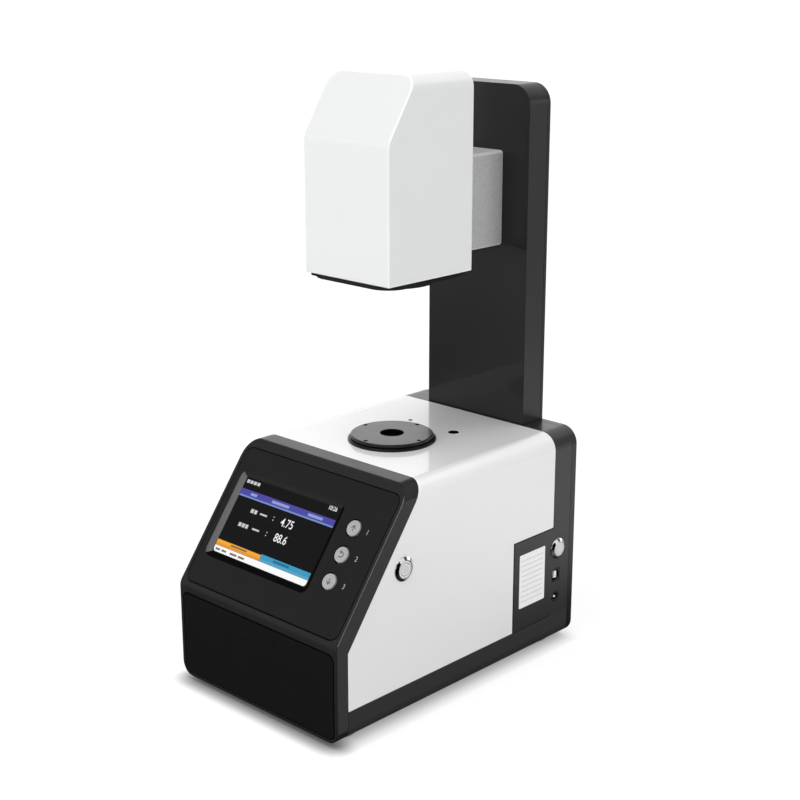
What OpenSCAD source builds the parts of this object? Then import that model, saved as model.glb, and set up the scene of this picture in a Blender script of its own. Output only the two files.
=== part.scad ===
/* [Base] */
// Width of the base
base_w = 200; // [190:1:230]
// Depth of the base, front to back
base_d = 310; // [300:1:340]
// Height of the base body, without its feet
base_h = 205; // [204:1:216]
// Height of the rubber feet
foot_h = 4; // [3:0.5:8]
// Radius of the top side edges
top_r = 16; // [12:1:20]
// Radius of the bottom side edges
bottom_r = 13.5; // [11:0.5:16]
// Wall of the white cover
shell_t = 2.5; // [2:0.1:3]
// Wall of the black chassis
chassis_t = 3; // [2.5:0.1:3.5]
// Height of the black bottom strip
tray_h = 27.5; // [24:0.5:32]
// Depth of the black rear frame, with its cover
rear_frame_d = 31.2; // [29:0.1:34]
// Depth of the rear covers
rear_cover_t = 7.3; // [6:0.1:9]
// Length of the connector notch ahead of the rear frame
notch_w = 56.8; // [50:0.1:64]
// Height of the top of the connector notch
notch_top = 115; // [112:1:124]

/* [Front] */
// Height of the leaning part of the front
lean_h = 116; // [111:1:121]
// How far the leaning front runs back
slope_run = 86.6; // [80:0.5:92]
// Depth of the bezel on the upright front
bezel_d = 12.8; // [12:0.2:15]
// Depth of the bezel on the top face
bezel_top = 17.7; // [16:0.2:20]
// How far the bezel seam bends below the front bend
seam_drop = 9.2; // [8:0.2:11]
// Front wall of the bezel
bezel_t = 6; // [5.5:0.1:7]
// Margin between the control panel and each side
panel_side = 4.5; // [3:0.5:7]
// Margin between the control panel and the top of the slope
panel_high = 10; // [7:0.5:12]
// Lower edge of the control panel above the bend
panel_low = 4.2; // [3.5:0.1:6]
// Thickness of the control panel
panel_t = 3; // [2.6:0.1:3.4]
// Corner radius of the control panel
panel_r = 8; // [5:1:10]
// Gap round the control panel and the front plate
groove = 0.4; // [0.3:0.05:0.6]
// Margin between the front plate and the bend
plate_high = 8.5; // [7:0.5:12]
// Lower edge of the front plate
plate_low = 4.5; // [4:0.5:6]
// Thickness of the front plate
plate_t = 2; // [1.5:0.1:2.5]

/* [Display and keys] */
// Distance of the screen opening from the panel's left edge
screen_left = 9.4; // [8:0.2:12]
// Distance of the screen opening from the panel's right edge
screen_right = 52.6; // [51:0.2:56]
// Height of the screen opening at the panel face
screen_h = 82; // [78:1:84]
// Width of the bevel round the screen
screen_bevel = 4.7; // [3:0.1:6]
// Height of the screen centre along the slope
screen_s = 73; // [70:0.5:76]
// Thickness of the screen window
window_t = 1.5; // [1:0.1:2]
// Thickness of the display module
display_t = 7; // [5:0.5:9]
// Radius of the round keys
key_r = 6.9; // [6.2:0.1:7.4]
// Gap round each key
key_gap = 0.45; // [0.3:0.05:0.6]
// Distance of the keys from the panel's right edge
key_in = 33.3; // [31:0.1:35]
// Distance between the keys
key_pitch = 24.2; // [22:0.1:26]
// How far the keys stand proud
key_proud = 0.9; // [0.8:0.1:1.4]
// Travel of the keys
key_travel = 0.6; // [0.4:0.1:0.8]

/* [Push buttons] */
// Radius of the test button's ring
test_ring_r = 11; // [10.8:0.1:12]
// Radius of the test button's threaded body
test_body_r = 9.4; // [9:0.1:9.6]
// Radius of the test button's cap
test_cap_r = 7.3; // [7:0.1:7.5]
// Distance of the test button from the front
test_back = 78; // [76:1:84]
// Distance of the test button below the top of the base
test_drop = 70.3; // [62:0.1:74]
// Travel of the test button
test_travel = 1.5; // [1:0.1:2]
// Radius of the power button's ring
power_ring_r = 10; // [9.8:0.1:10.6]
// Radius of the power button's threaded body
power_body_r = 7.9; // [7.7:0.1:8.2]
// Radius of the power button's cap
power_cap_r = 6.3; // [6:0.1:6.6]
// Distance of the power button from the rear
power_back = 24.6; // [24:0.1:28]
// Height of the power button
power_z = 93; // [92:0.5:97]
// Travel of the power button
power_travel = 2.5; // [1.5:0.1:3]
// How far the button rings stand proud
ring_proud = 2.3; // [1.8:0.1:2.6]

/* [Port and sphere] */
// Distance of the port axis behind the middle of the base
port_y = 12.7; // [10:0.1:16]
// Radius of the port opening
port_r = 10.5; // [8:0.1:11]
// Radius of the port plate
port_plate_r = 37.2; // [35:0.1:38]
// Thickness of the port plate
port_plate_t = 3.4; // [3:0.1:4]
// Radius of the ring under the port plate
port_ring_r = 39.7; // [38.5:0.1:42]
// Height of the ring under the port plate
port_ring_t = 2.4; // [2:0.1:3]
// Radius of the port plate's screw circle
port_screw_circle = 33.4; // [31.6:0.1:33.6]
// Radius of the compensation opening
comp_r = 4.6; // [3.5:0.1:5]
// Sideways place of the compensation opening
comp_x = 27; // [25:0.5:29]
// Distance of the compensation opening behind the port
comp_back = 53; // [51:0.5:54]
// Wall of the integrating sphere
sphere_t = 2.5; // [2:0.1:3]
// Width of the sphere's flange
flange_w = 12; // [10:0.5:13]
// Thickness of each flange
flange_t = 3; // [2.5:0.1:4]
// Radius of the opening into the light trap
trap_r = 15; // [12:0.5:16]

/* [Head and column] */
// Width of the head
head_w = 100.4; // [96:0.2:106]
// Depth of the head
head_d = 104.1; // [102:0.1:110]
// Distance of the head's front ahead of the port axis
head_front = 55.3; // [54:0.1:57]
// Height of the head's underside
head_z = 358.6; // [350:0.2:370]
// Height of the head
head_h = 171; // [168:1:180]
// Height of the head's upright front
head_kink = 118.4; // [112:0.2:124]
// How far the head's leaning front runs back
head_run = 34.1; // [28:0.1:38]
// Radius of the head's top side edges
head_top_r = 14; // [10:1:16]
// Wall of the head cover
head_t = 2.5; // [2:0.1:3]
// Width of the column
column_w = 118; // [112:1:126]
// Height of the top of the column
column_top = 513.9; // [505:0.1:525]
// Radius of the column's top corners
column_r = 18; // [12:1:22]
// Depth of the cover behind the column
column_cover_t = 4; // [3.8:0.1:6]
// How far the column stands back on the rear frame
column_step = 1.7; // [1:0.1:3]
// Width of the cast arm
arm_w = 59.2; // [54:0.2:62]
// Height of the cast arm
arm_h = 85.6; // [82:0.2:90]
// Height of the arm's underside above the head's
arm_up = 11.1; // [9:0.1:13]
// Radius of the lens ring under the head
lens_ring_r = 39.3; // [37:0.1:41]
// How far the lens ring hangs below the head
lens_ring_drop = 8.6; // [8:0.1:10]
// Thickness of the black plate below the head's rim
head_plate_drop = 3.7; // [3:0.1:4.5]

/* [Hidden] */
$fn = 64;

eps = 0.01;
past = 5;
kink_h = base_h - lean_h;
front_y = -base_d / 2;
rear_y = base_d / 2;
frame_y = rear_y - rear_frame_d;
cover_y = rear_y - rear_cover_t;
column_y = frame_y + column_step;
column_cover_y = rear_y - column_cover_t;
lean = atan2(slope_run, lean_h);
slope_top_y = front_y + slope_run;
seam_y = front_y + bezel_d;
seam_kink = kink_h - seam_drop;
seam_top_y = slope_top_y + bezel_top;
side_x = base_w / 2;

black = [0.13, 0.13, 0.135];
deep_black = [0.07, 0.07, 0.075];
shell_white = [0.93, 0.93, 0.94];
cast_grey = [0.66, 0.66, 0.66];
steel = [0.75, 0.76, 0.78];
board_green = [0.1, 0.35, 0.2];

// Places a piece measured from the underside of the base
module lift() {
    translate([0, 0, foot_h]) children();
}

// Extrudes an outline drawn in X and Z from y0 back to y1
module along_y(y0, y1) {
    translate([0, y1, 0]) rotate([90, 0, 0]) linear_extrude(y1 - y0) children();
}

// Extrudes an outline drawn in Y and Z from x0 to x1
module along_x(x0, x1) {
    translate([x0, 0, 0]) rotate([90, 0, 90]) linear_extrude(x1 - x0) children();
}

// Copies to both sides
module both_sides() {
    children();
    mirror([1, 0, 0]) children();
}

// Rectangle about its centre with round corners
module round_rect(w, h, r) {
    square([w - 2 * r, h], center = true);
    square([w, h - 2 * r], center = true);
    for (x = [-1, 1], y = [-1, 1])
        translate([x * (w / 2 - r), y * (h / 2 - r)]) circle(r);
}

// Points of a fillet of radius r at corner b, between the edges to a and to c
function fillet(a, b, c, r, steps = 6) =
    let (u = (a - b) / norm(a - b), v = (c - b) / norm(c - b), half = acos(u * v) / 2,
         centre = b + (u + v) / norm(u + v) * r / sin(half), from = b + u * r / tan(half) - centre,
         to = b + v * r / tan(half) - centre, turn = 180 - 2 * half,
         way = sign(from.x * to.y - from.y * to.x))
    [for (i = [0:steps]) let (t = way * turn * i / steps)
        centre + [from.x * cos(t) - from.y * sin(t), from.x * sin(t) + from.y * cos(t)]];

// Outline with a fillet at each corner whose radius is not 0
function rounded(points, radii) =
    let (n = len(points))
    [for (i = [0:n - 1]) each (radii[i] > 0
        ? fillet(points[(i + n - 1) % n], points[i], points[(i + 1) % n], radii[i])
        : [points[i]])];

// Socket head screw along +Z, with its head above z = 0
module cap_screw(r, length, head_r, head_t) {
    difference() {
        union() {
            translate([0, 0, -length]) cylinder(r = r, h = length);
            cylinder(r = head_r, h = head_t);
        }
        translate([0, 0, head_t * 0.45]) cylinder(r = head_r * 0.5, h = head_t, $fn = 6);
    }
}

// Front outline of the base seen along Y, taken in by inset
module base_front_outline(inset = 0) {
    low_r = bottom_r - inset;
    high_r = top_r - inset;
    w = side_x - inset;
    translate([-w, inset + low_r]) square([2 * w, base_h - 2 * inset - low_r - high_r]);
    translate([low_r - w, inset]) square([2 * (w - low_r), low_r + eps]);
    translate([high_r - w, base_h - inset - high_r - eps]) square([2 * (w - high_r), high_r + eps]);
    for (x = [-1, 1]) {
        translate([x * (w - low_r), inset + low_r]) circle(low_r);
        translate([x * (w - high_r), base_h - inset - high_r]) circle(high_r);
    }
}

front_edge_r = 2;
kink_r = 10;
brow_r = 2.5;

// Side outline of the base seen along X
module base_side_outline() {
    polygon(rounded(
        [[front_y, 0], [front_y, kink_h], [slope_top_y, base_h], [rear_y, base_h], [rear_y, 0]],
        [front_edge_r, kink_r, brow_r, 0, 0]));
}

// How far back the leaning face lies at height z, taken in by inset
function slope_y(z, inset = 0) =
    front_y + inset + (z - kink_h + inset * tan(lean / 2)) * tan(lean);
function seam_at(z) = seam_y + (z - seam_kink) * (seam_top_y - seam_y) / (base_h - seam_kink);

module base_outer() {
    intersection() {
        along_y(front_y, rear_y) base_front_outline();
        along_x(-side_x, side_x) base_side_outline();
    }
}

// All that lies ahead of the seam behind the bezel
module bezel_zone() {
    along_x(-side_x - past, side_x + past)
        polygon([[front_y - past, -past], [seam_y, -past], [seam_y, seam_kink],
                 [seam_at(base_h + past), base_h + past], [front_y - past, base_h + past]]);
}

// Places things on the leaning face: x sideways, y up the slope, z out of the face
module on_slope() {
    translate([0, front_y, kink_h]) rotate([90 - lean, 0, 0]) children();
}

// Places things on the right side wall: x to the rear, y up, z out of the wall
module on_side(y, z, x = side_x) {
    translate([x, y, z]) rotate([90, 0, 90]) children();
}

slope_l = norm([slope_run, lean_h]);
panel_w = base_w - 2 * panel_side;
panel_h = slope_l - panel_low - panel_high;
panel_s = panel_low + panel_h / 2;
plate_h = kink_h - plate_low - plate_high;
screen_w = panel_w - screen_left - screen_right;
screen_x = (screen_left - screen_right) / 2;
key_drop = 0.9;
key_x = panel_w / 2 - key_in;
key_s = screen_s - key_drop;
key_hole_r = key_r + key_gap;
window_margin = 3;
driver_in = 14;
driver_t = 1.6;
window_w = screen_w - 2 * screen_bevel + 2 * window_margin;
window_h = screen_h - 2 * screen_bevel + 2 * window_margin;
fit = 0.3;
seat_gap = 0.1;
display_border = 1;
key_flange_w = 1.3;
key_flange_r = key_hole_r + key_flange_w;
key_flange_t = 1.2;
key_stem_r = 1.75;
key_edge = 0.5;
key_rim = 1.3;
key_dish = 0.4;
switch_gap = 1.4;
switch_t = 3.5;
switch_w = 6;
switch_top = -panel_t - key_flange_t - switch_gap - key_travel;
key_board_top = switch_top - switch_t;
board_t = 1.6;
key_board_w = 26;
key_board_h = 2 * key_pitch + key_board_w;
key_post_x = 10.4;
key_post_up = 10;
key_post_s = key_pitch + key_post_up;
switch_well = 0.8;
stem_gap = 0.1;
stem_rest = 0.2;
key_post_r = 2.4;
key_slot_w = 2 * key_flange_r + 1;
pilot_r = 1.2;
pilot_l = 4;

boss_r = 5;
boss_bore_l = 15;
rear_boss_in = 9;
rear_boss_mid = 150;
m3_r = 1.5;
m3_hole = 1.65;
m3_head_r = 2.75;
m3_head_t = 2.4;
m3_run = 0.05;
head_run_gap = 0.3;
sink = 0.4;
screw_bite = 4;
cover_screw_z = m3_head_t + 1;
rear_boss_places = [[side_x - rear_boss_in, rear_boss_in],
                    [side_x - chassis_t - boss_r + 1, rear_boss_mid],
                    [side_x - rear_boss_in, base_h - rear_boss_in]];

foot_in_x = 22;
foot_in_y = 27;
foot_x = side_x - foot_in_x;
foot_y = [front_y + foot_in_y, rear_y - foot_in_y];
foot_r = 10;
foot_boss_h = 4;
foot_taper = 1;
foot_web = 1;
foot_bare = 0.6;
tab_in = 11;
tab_behind = 55;
tab_ahead = 13;
tab_x = side_x - tab_in;
tab_y = [front_y + tab_behind, frame_y - notch_w - tab_ahead];
tab_l = 14;
tab_w = 14;
tab_t = 3;
post_r = 4;
post_in = 5;
post_pad_t = 3;
post_pad_w = 2;
floor_z = chassis_t;
sphere_top_gap = 2;
trap_neck = 6;
trap_l = 26;
trap_lift = 13;
sphere_space = base_h - shell_t - sphere_top_gap - floor_z;
sphere_r = (sphere_space - sphere_top_gap - sphere_t - trap_neck - trap_l - trap_lift) / 2;
flange_r = sphere_r + flange_w;
post_circle = flange_r - post_in;
neck_top = base_h - shell_t - sphere_top_gap;
sphere_z = neck_top - sphere_top_gap - sphere_r - sphere_t;
bezel_screw_in = 30;
bezel_screw_x = side_x - bezel_screw_in;
bezel_screw_z = 14;
bezel_screw_l = 5;
spine_w = 50;
spine_d = 16;
spine_t = 2.5;
column_in = 3;
opening_in = 6;
opening_x = column_w / 2 - column_in - opening_in;

board_side_gap = 20;
board_front_gap = 14;
board_lift = 8;
main_board_w = base_w - 2 * board_side_gap;
main_board_d = 62;
main_board_y = seam_y + board_front_gap + main_board_d / 2;
main_board_z = floor_z + board_lift;
board_post_in = 6;
board_post_r = 3;

power_y = rear_y - power_back;
test_y = front_y + test_back;
test_z = base_h - test_drop;
usb_back = 26.2;
usb_drop = 26.1;
usb_y = rear_y - usb_back;
usb_z = power_z - usb_drop;
usb_w = 10.2;
usb_h = 11.6;
usb_l = 16;
usb_wall = 0.8;
usb_back_t = 4;
usb_recess = 0.3;
tongue_l = 11;
tongue_w = 6.2;
tongue_t = 3.2;
jack_drop = 21.9;
jack_z = usb_z - jack_drop;
jack_r = 4.9;
jack_bore = 3.2;
jack_body = 11;
jack_back_t = 3;
jack_pin_r = 1.25;
jack_pin_l = 12.5;
jack_recess = 0.2;
connector_board_w = 31;
connector_board_low = 11;
connector_board_up = 13;
connector_board_x = side_x - usb_l;
connector_board_y = [usb_y - connector_board_w / 2, usb_y + connector_board_w / 2];
connector_board_z = [jack_z - connector_board_low, usb_z + connector_board_up];
connector_post_in = 3.5;
connector_post_r = 2.5;
notch_groove = 0.5;
notch_groove_h = 0.6;
notch_groove_in = 1;
spine_foot_t = 4;
spine_foot_w = 70;
spine_foot_d = 36;

// Black chassis: bottom tray, rear frame and the cheek that holds the connectors
module base_frame() {
    color(black) lift() difference() {
        union() {
            intersection() {
                base_outer();
                translate([-side_x, seam_y, 0]) cube([base_w, cover_y - seam_y, tray_h]);
            }
            intersection() {
                base_outer();
                translate([-side_x, frame_y, 0]) cube([base_w, cover_y - frame_y, base_h]);
            }
            translate([side_x - chassis_t, frame_y - notch_w, tray_h - eps])
                cube([chassis_t, notch_w + eps, notch_top - tray_h + eps]);
        }
        difference() {
            along_y(seam_y + chassis_t, cover_y + past) base_front_outline(chassis_t);
            frame_posts();
        }
        chassis_holes();
    }
}

// Bosses that stand inside the chassis
module frame_posts() {
    both_sides() {
        for (p = rear_boss_places)
            translate([p.x, cover_y, p.y]) rotate([90, 0, 0]) cylinder(r = boss_r, h = cover_y - frame_y);
        for (y = tab_y)
            translate([tab_x, y, 0]) cylinder(r = boss_r, h = tray_h);
        for (y = [-1, 1])
            translate([main_board_w / 2 - board_post_in,
                       main_board_y + y * (main_board_d / 2 - board_post_in), 0])
                cylinder(r = board_post_r, h = main_board_z);
        for (y = foot_y)
            translate([foot_x, y, 0]) cylinder(r = boss_r, h = floor_z + foot_boss_h);
        for (y = [-1, 1])
            translate([post_circle * cos(45), port_y + y * post_circle * sin(45), 0])
                cylinder(r = post_r + post_pad_w, h = floor_z + post_pad_t);
    }
    for (y = connector_board_y, z = connector_board_z)
        translate([connector_board_x,
                   y + (y < usb_y ? connector_post_in : -connector_post_in),
                   z + (z < usb_z ? connector_post_in : -connector_post_in)])
            rotate([0, 90, 0]) cylinder(r = connector_post_r, h = side_x - connector_board_x);
}

// Holes through the chassis walls
module chassis_holes() {
    both_sides() {
        for (p = rear_boss_places)
            translate([p.x, cover_y + eps, p.y]) rotate([90, 0, 0]) cylinder(r = m3_hole, h = boss_bore_l);
        for (y = tab_y) {
            translate([tab_x, y, -eps]) cylinder(r = m3_hole, h = tray_h + past);
            translate([tab_x, y, -past]) cylinder(r = m3_head_r + head_run_gap, h = past + cover_screw_z);
        }
        for (y = foot_y)
            translate([foot_x, y, -eps]) cylinder(r = m3_hole, h = floor_z + foot_boss_h - 1);
    }
    for (x = [-1, 0, 1])
        translate([x * bezel_screw_x, seam_y - eps, bezel_screw_z])
            rotate([-90, 0, 0]) cylinder(r = m3_hole, h = chassis_t + 1);
    translate([-opening_x, column_y + column_in, base_h - chassis_t - eps])
        cube([2 * opening_x, rear_frame_d, chassis_t + 1]);
    on_side(power_y, power_z, side_x - chassis_t - 1)
        cylinder(r = power_body_r + body_gap, h = chassis_t + 2);
    translate([side_x - chassis_t - 1, usb_y - usb_w / 2 - fit, usb_z - usb_h / 2 - fit])
        cube([chassis_t + 2, usb_w + 2 * fit, usb_h + 2 * fit]);
    on_side(usb_y, jack_z, side_x - chassis_t - 1) cylinder(r = jack_r + fit, h = chassis_t + 2);
    translate([side_x - notch_groove, frame_y - notch_w + notch_groove_in, tray_h - notch_groove_h / 2])
        cube([1, notch_w - 2 * notch_groove_in, notch_groove_h]);
}

// White cover over the top and both sides, with the connector notch on the right
module base_shell() {
    color(shell_white) lift() difference() {
        union() {
            difference() {
                intersection() {
                    base_outer();
                    translate([-side_x, front_y, tray_h]) cube([base_w, frame_y - front_y, base_h]);
                }
                bezel_zone();
                along_y(front_y - past, rear_y) base_front_outline(shell_t);
            }
            both_sides() for (y = tab_y)
                translate([side_x - shell_t - tab_w, y - tab_l / 2, tray_h])
                    cube([tab_w + eps, tab_l, tab_t]);
            shell_ribs();
        }
        translate([side_x - shell_t - 1, frame_y - notch_w, tray_h - past])
            cube([shell_t + 2, notch_w + past, notch_top - tray_h + past]);
        both_sides() for (y = tab_y)
            translate([tab_x, y, tray_h - 1]) cylinder(r = m3_r + m3_run, h = tab_t + 2);
        translate([0, port_y, base_h - shell_t - 1]) cylinder(r = hub_r + fit, h = shell_t + 2);
        for (x = [-1, 1])
            translate([x * comp_x, port_y + comp_back, base_h - shell_t - 1])
                cylinder(r = x > 0 ? comp_r + seat_gap : pin_hole_r, h = shell_t + 2);
        on_side(test_y, test_z, side_x - shell_t - 1)
            cylinder(r = test_body_r + body_gap, h = shell_t + 2);
    }
}

rib_t = 2;
rib_d = 5;
rib_behind = 11.4;
rib_ahead = 32.8;
pin_hole_r = 1.4;
body_gap = 0.2;

// Stiffening ribs under the top of the white cover
module shell_ribs() {
    for (y = [seam_top_y + rib_behind, frame_y - rib_ahead])
        translate([top_r - side_x, y, base_h - shell_t - rib_d])
            cube([base_w - 2 * top_r, rib_t, rib_d + eps]);
}

// Black front bezel with the pockets for the control panel and the front plate
module front_bezel() {
    color(black) lift() difference() {
        intersection() {
            base_outer();
            bezel_zone();
        }
        difference() {
            intersection() {
                along_y(front_y, rear_y) base_front_outline(chassis_t);
                along_x(-side_x, side_x) polygon([
                    [front_y + bezel_t, 0], [front_y + bezel_t, kink_h - bezel_t * tan(lean / 2)],
                    [slope_y(base_h, bezel_t), base_h], [rear_y, base_h], [rear_y, 0]]);
            }
            bezel_posts();
        }
        on_slope() translate([0, panel_s, -panel_t])
            linear_extrude(panel_t + past)
                round_rect(panel_w + 2 * groove, panel_h + 2 * groove, panel_r + groove);
        translate([0, front_y + plate_t, plate_low + plate_h / 2]) rotate([90, 0, 0])
            linear_extrude(plate_t + past)
                round_rect(panel_w + 2 * groove, plate_h + 2 * groove, panel_r + groove);
        on_slope() {
            translate([screen_x, screen_s, -bezel_t - past])
                linear_extrude(bezel_t + past)
                    square([window_w + 2 * fit, window_h + 2 * fit], center = true);
            translate([key_x, key_s, -bezel_t - past])
                linear_extrude(bezel_t + past)
                    round_rect(key_slot_w, 2 * key_pitch + key_slot_w, key_slot_w / 2 - eps);
            for (x = [-1, 1], s = [-1, 1])
                translate([key_x + x * key_post_x, key_s + s * key_post_s, key_board_top - eps])
                    cylinder(r = pilot_r, h = pilot_l);
        }
        for (x = [-1, 0, 1])
            translate([x * bezel_screw_x, seam_y + eps, bezel_screw_z])
                rotate([90, 0, 0]) cylinder(r = m3_r + m3_run, h = bezel_screw_l + 1);
    }
}

// Bosses behind the bezel for the key board and for the screws from the chassis
module bezel_posts() {
    on_slope() for (x = [-1, 1], s = [-1, 1])
        translate([key_x + x * key_post_x, key_s + s * key_post_s, key_board_top])
            cylinder(r = key_post_r, h = -key_board_top - panel_t);
    for (x = [-1, 0, 1])
        translate([x * bezel_screw_x, seam_y, bezel_screw_z])
            rotate([90, 0, 0]) cylinder(r = boss_r, h = bezel_d - plate_t - 1);
}

// Leaning control panel with the bevelled screen opening and the key holes
module control_panel() {
    color(black) lift() on_slope() difference() {
        translate([0, panel_s, -panel_t]) linear_extrude(panel_t) round_rect(panel_w, panel_h, panel_r);
        translate([screen_x, screen_s, 0]) intersection() {
            rotate([90, 0, 0]) linear_extrude(screen_h + 2, center = true)
                bevel_outline(screen_w / 2);
            rotate([90, 0, 90]) linear_extrude(screen_w + 2, center = true)
                bevel_outline(screen_h / 2);
        }
        for (i = [-1, 0, 1])
            translate([key_x, key_s + i * key_pitch, -panel_t - 1])
                cylinder(r = key_hole_r, h = panel_t + 2);
    }
}

// Section of the bevelled screen opening
module bevel_outline(half) {
    slope = screen_bevel / panel_t;
    polygon([[-half - slope, 1], [half + slope, 1],
             [half - screen_bevel - slope, -panel_t - 1], [screen_bevel + slope - half, -panel_t - 1]]);
}

// Gloss plate on the upright front
module front_plate() {
    color(deep_black) lift()
        translate([0, front_y + plate_t, plate_low + plate_h / 2]) rotate([90, 0, 0])
            linear_extrude(plate_t) round_rect(panel_w, plate_h, panel_r);
}

// Clear window behind the screen opening
module screen_window() {
    color([0.1, 0.1, 0.12, 0.5]) lift() on_slope()
        translate([screen_x, screen_s, -panel_t - window_t])
            linear_extrude(window_t) square([window_w, window_h], center = true);
}

// Display panel with its metal frame and connector edge
module display_module() {
    color([0.25, 0.25, 0.28]) lift() on_slope()
        translate([screen_x, screen_s, -panel_t - window_t - display_t]) {
            linear_extrude(display_t)
                square([window_w - 2 * display_border, window_h - 2 * display_border], center = true);
            translate([driver_in - window_w / 2, driver_in - window_h / 2, -driver_t])
                cube([window_w - 2 * driver_in, window_h - 2 * driver_in, driver_t + eps]);
        }
}

// Small board behind the keys
module key_board() {
    color(board_green) lift() on_slope()
        translate([key_x, key_s, key_board_top - board_t]) difference() {
            linear_extrude(board_t) square([key_board_w, key_board_h], center = true);
            for (x = [-1, 1], s = [-1, 1])
                translate([x * key_post_x, s * key_post_s, -1]) cylinder(r = pilot_r, h = board_t + 2);
        }
}

// Push switches under the keys
module key_switches() {
    color([0.2, 0.2, 0.2]) lift() on_slope() for (i = [-1, 0, 1])
        translate([key_x, key_s + i * key_pitch, key_board_top]) difference() {
            translate([-switch_w / 2, -switch_w / 2, 0]) cube([switch_w, switch_w, switch_t]);
            translate([0, 0, switch_well]) cylinder(r = key_stem_r + stem_gap, h = switch_t);
        }
}

// Round key with its flange and stem
module key(i) {
    stem_low = key_board_top + switch_well + key_travel + stem_rest;
    color([0.62, 0.62, 0.62]) lift() on_slope()
        translate([key_x, key_s + i * key_pitch, 0]) rotate_extrude() polygon([
            [0, stem_low], [key_stem_r, stem_low], [key_stem_r, -panel_t - key_flange_t],
            [key_flange_r, -panel_t - key_flange_t], [key_flange_r, -panel_t],
            [key_r, -panel_t], [key_r, key_proud - key_edge], [key_r - key_edge, key_proud],
            [key_r - key_rim, key_proud], [key_r - 1.5 * key_rim, key_proud - key_dish / 2],
            [0, key_proud - key_dish]]);
}

module key_up() key(1);
module key_return() key(0);
module key_down() key(-1);

// Chips and plugs on the main board: place in X and Y, size and height, as shares of the board's depth
board_parts = [
    [-0.8, -0.13, 0.4, 0.4, 0.05], [0, 0.1, 0.26, 0.26, 0.035], [0.7, -0.2, 0.5, 0.16, 0.15],
    [0.8, 0.26, 0.2, 0.2, 0.22], [-0.4, 0.3, 0.55, 0.13, 0.1], [0.32, -0.26, 0.2, 0.3, 0.04]
];

// Main board on the tray floor
module main_board() {
    color(board_green) lift() translate([0, main_board_y, main_board_z]) {
        translate([-main_board_w / 2, -main_board_d / 2, 0]) cube([main_board_w, main_board_d, board_t]);
        for (p = board_parts * main_board_d)
            translate([p[0] - p[2] / 2, p[1] - p[3] / 2, board_t - eps]) cube([p[2], p[3], p[4]]);
    }
}

// Board that carries the data and power sockets
module connector_board() {
    y0 = connector_board_y[0];
    z0 = connector_board_z[0];
    color(board_green) lift()
        translate([connector_board_x - board_t, y0, z0])
            cube([board_t, connector_board_y[1] - y0, connector_board_z[1] - z0]);
}

// Square data socket
module usb_socket() {
    color(steel) lift() translate([connector_board_x, usb_y, usb_z]) {
        difference() {
            translate([0, -usb_w / 2, -usb_h / 2]) cube([usb_l - usb_recess, usb_w, usb_h]);
            translate([usb_back_t, usb_wall - usb_w / 2, usb_wall - usb_h / 2])
                cube([usb_l, usb_w - 2 * usb_wall, usb_h - 2 * usb_wall]);
        }
        translate([usb_back_t - eps, -tongue_t / 2, -tongue_w / 2]) cube([tongue_l, tongue_t, tongue_w]);
    }
}

// Round power socket with its centre pin
module power_jack() {
    color(deep_black) lift() on_side(usb_y, jack_z, connector_board_x) {
        difference() {
            union() {
                translate([-jack_body / 2, -jack_body / 2, 0])
                    cube([jack_body, jack_body, usb_l - chassis_t - 1]);
                cylinder(r = jack_r, h = usb_l - jack_recess);
            }
            translate([0, 0, jack_back_t]) cylinder(r = jack_bore, h = usb_l);
        }
        translate([0, 0, jack_back_t - eps]) cylinder(r = jack_pin_r, h = jack_pin_l);
    }
}

label_w = 36.4;
label_h = 52;
label_t = 0.2;
label_in = 8.4;
label_up = 21.4;

// Bare label on the cheek
module rating_label() {
    color("white") lift()
        translate([side_x, frame_y - notch_w + label_in, tray_h + label_up])
            cube([label_t, label_w, label_h]);
}

ring_edge = 0.5;
ring_low = 0.9;
ring_lip = 0.9;
terminal_t = 0.8;
terminal_w = 2.8;
terminal_l = 6;
nut_wall = 4.2;
nut_t = 2.5;
cap_edge = 0.5;
cap_rim = 1.1;
cap_line = 0.2;

// Metal push button body: ring, threaded barrel and terminals
module button_body(ring_r, body_r, bore_r, length, depth) {
    difference() {
        union() {
            rotate_extrude() polygon([
                [0, 0], [ring_r, 0], [ring_r, ring_edge], [ring_r - ring_edge, ring_low],
                [bore_r + ring_lip, ring_proud], [0, ring_proud]]);
            translate([0, 0, -length]) cylinder(r = body_r, h = length + eps);
            for (x = [-1, 1])
                translate([(x * body_r - terminal_t) / 2, -terminal_w / 2, -length - terminal_l])
                    cube([terminal_t, terminal_w, terminal_l + eps]);
        }
        translate([0, 0, -depth]) cylinder(r = bore_r, h = depth + past);
    }
}

module button_nut(body_r, wall) {
    translate([0, 0, -wall - nut_t]) difference() {
        cylinder(r = body_r + nut_wall, h = nut_t, $fn = 6);
        translate([0, 0, -1]) cylinder(r = body_r + slide_gap, h = nut_t + 2);
    }
}

module button_cap(r, length, proud) {
    translate([0, 0, proud - length]) rotate_extrude() polygon([
        [0, 0], [r, 0], [r, length - cap_edge], [r - cap_edge, length], [r - cap_rim, length],
        [r - cap_rim - cap_line, length - cap_line], [r - cap_rim - 2 * cap_line, length], [0, length]]);
}

slide_gap = 0.05;
cap_room = 2.5;
test_length = 24;
test_cap_l = 12;
test_depth = test_cap_l + test_travel + cap_room;
power_length = 20;
power_cap_l = 11;
power_depth = power_cap_l + power_travel + cap_room;
power_cap_proud = 2.8;
test_cap_drop = 0.2;

module power_button_body() {
    color(steel) lift() on_side(power_y, power_z)
        button_body(power_ring_r, power_body_r, power_cap_r + slide_gap, power_length, power_depth);
}

module power_button_cap() {
    color([0.8, 0.8, 0.8]) lift() on_side(power_y, power_z)
        button_cap(power_cap_r, power_cap_l, power_cap_proud);
}

module power_button_nut() {
    color(steel) lift() on_side(power_y, power_z) button_nut(power_body_r, chassis_t);
}

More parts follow.
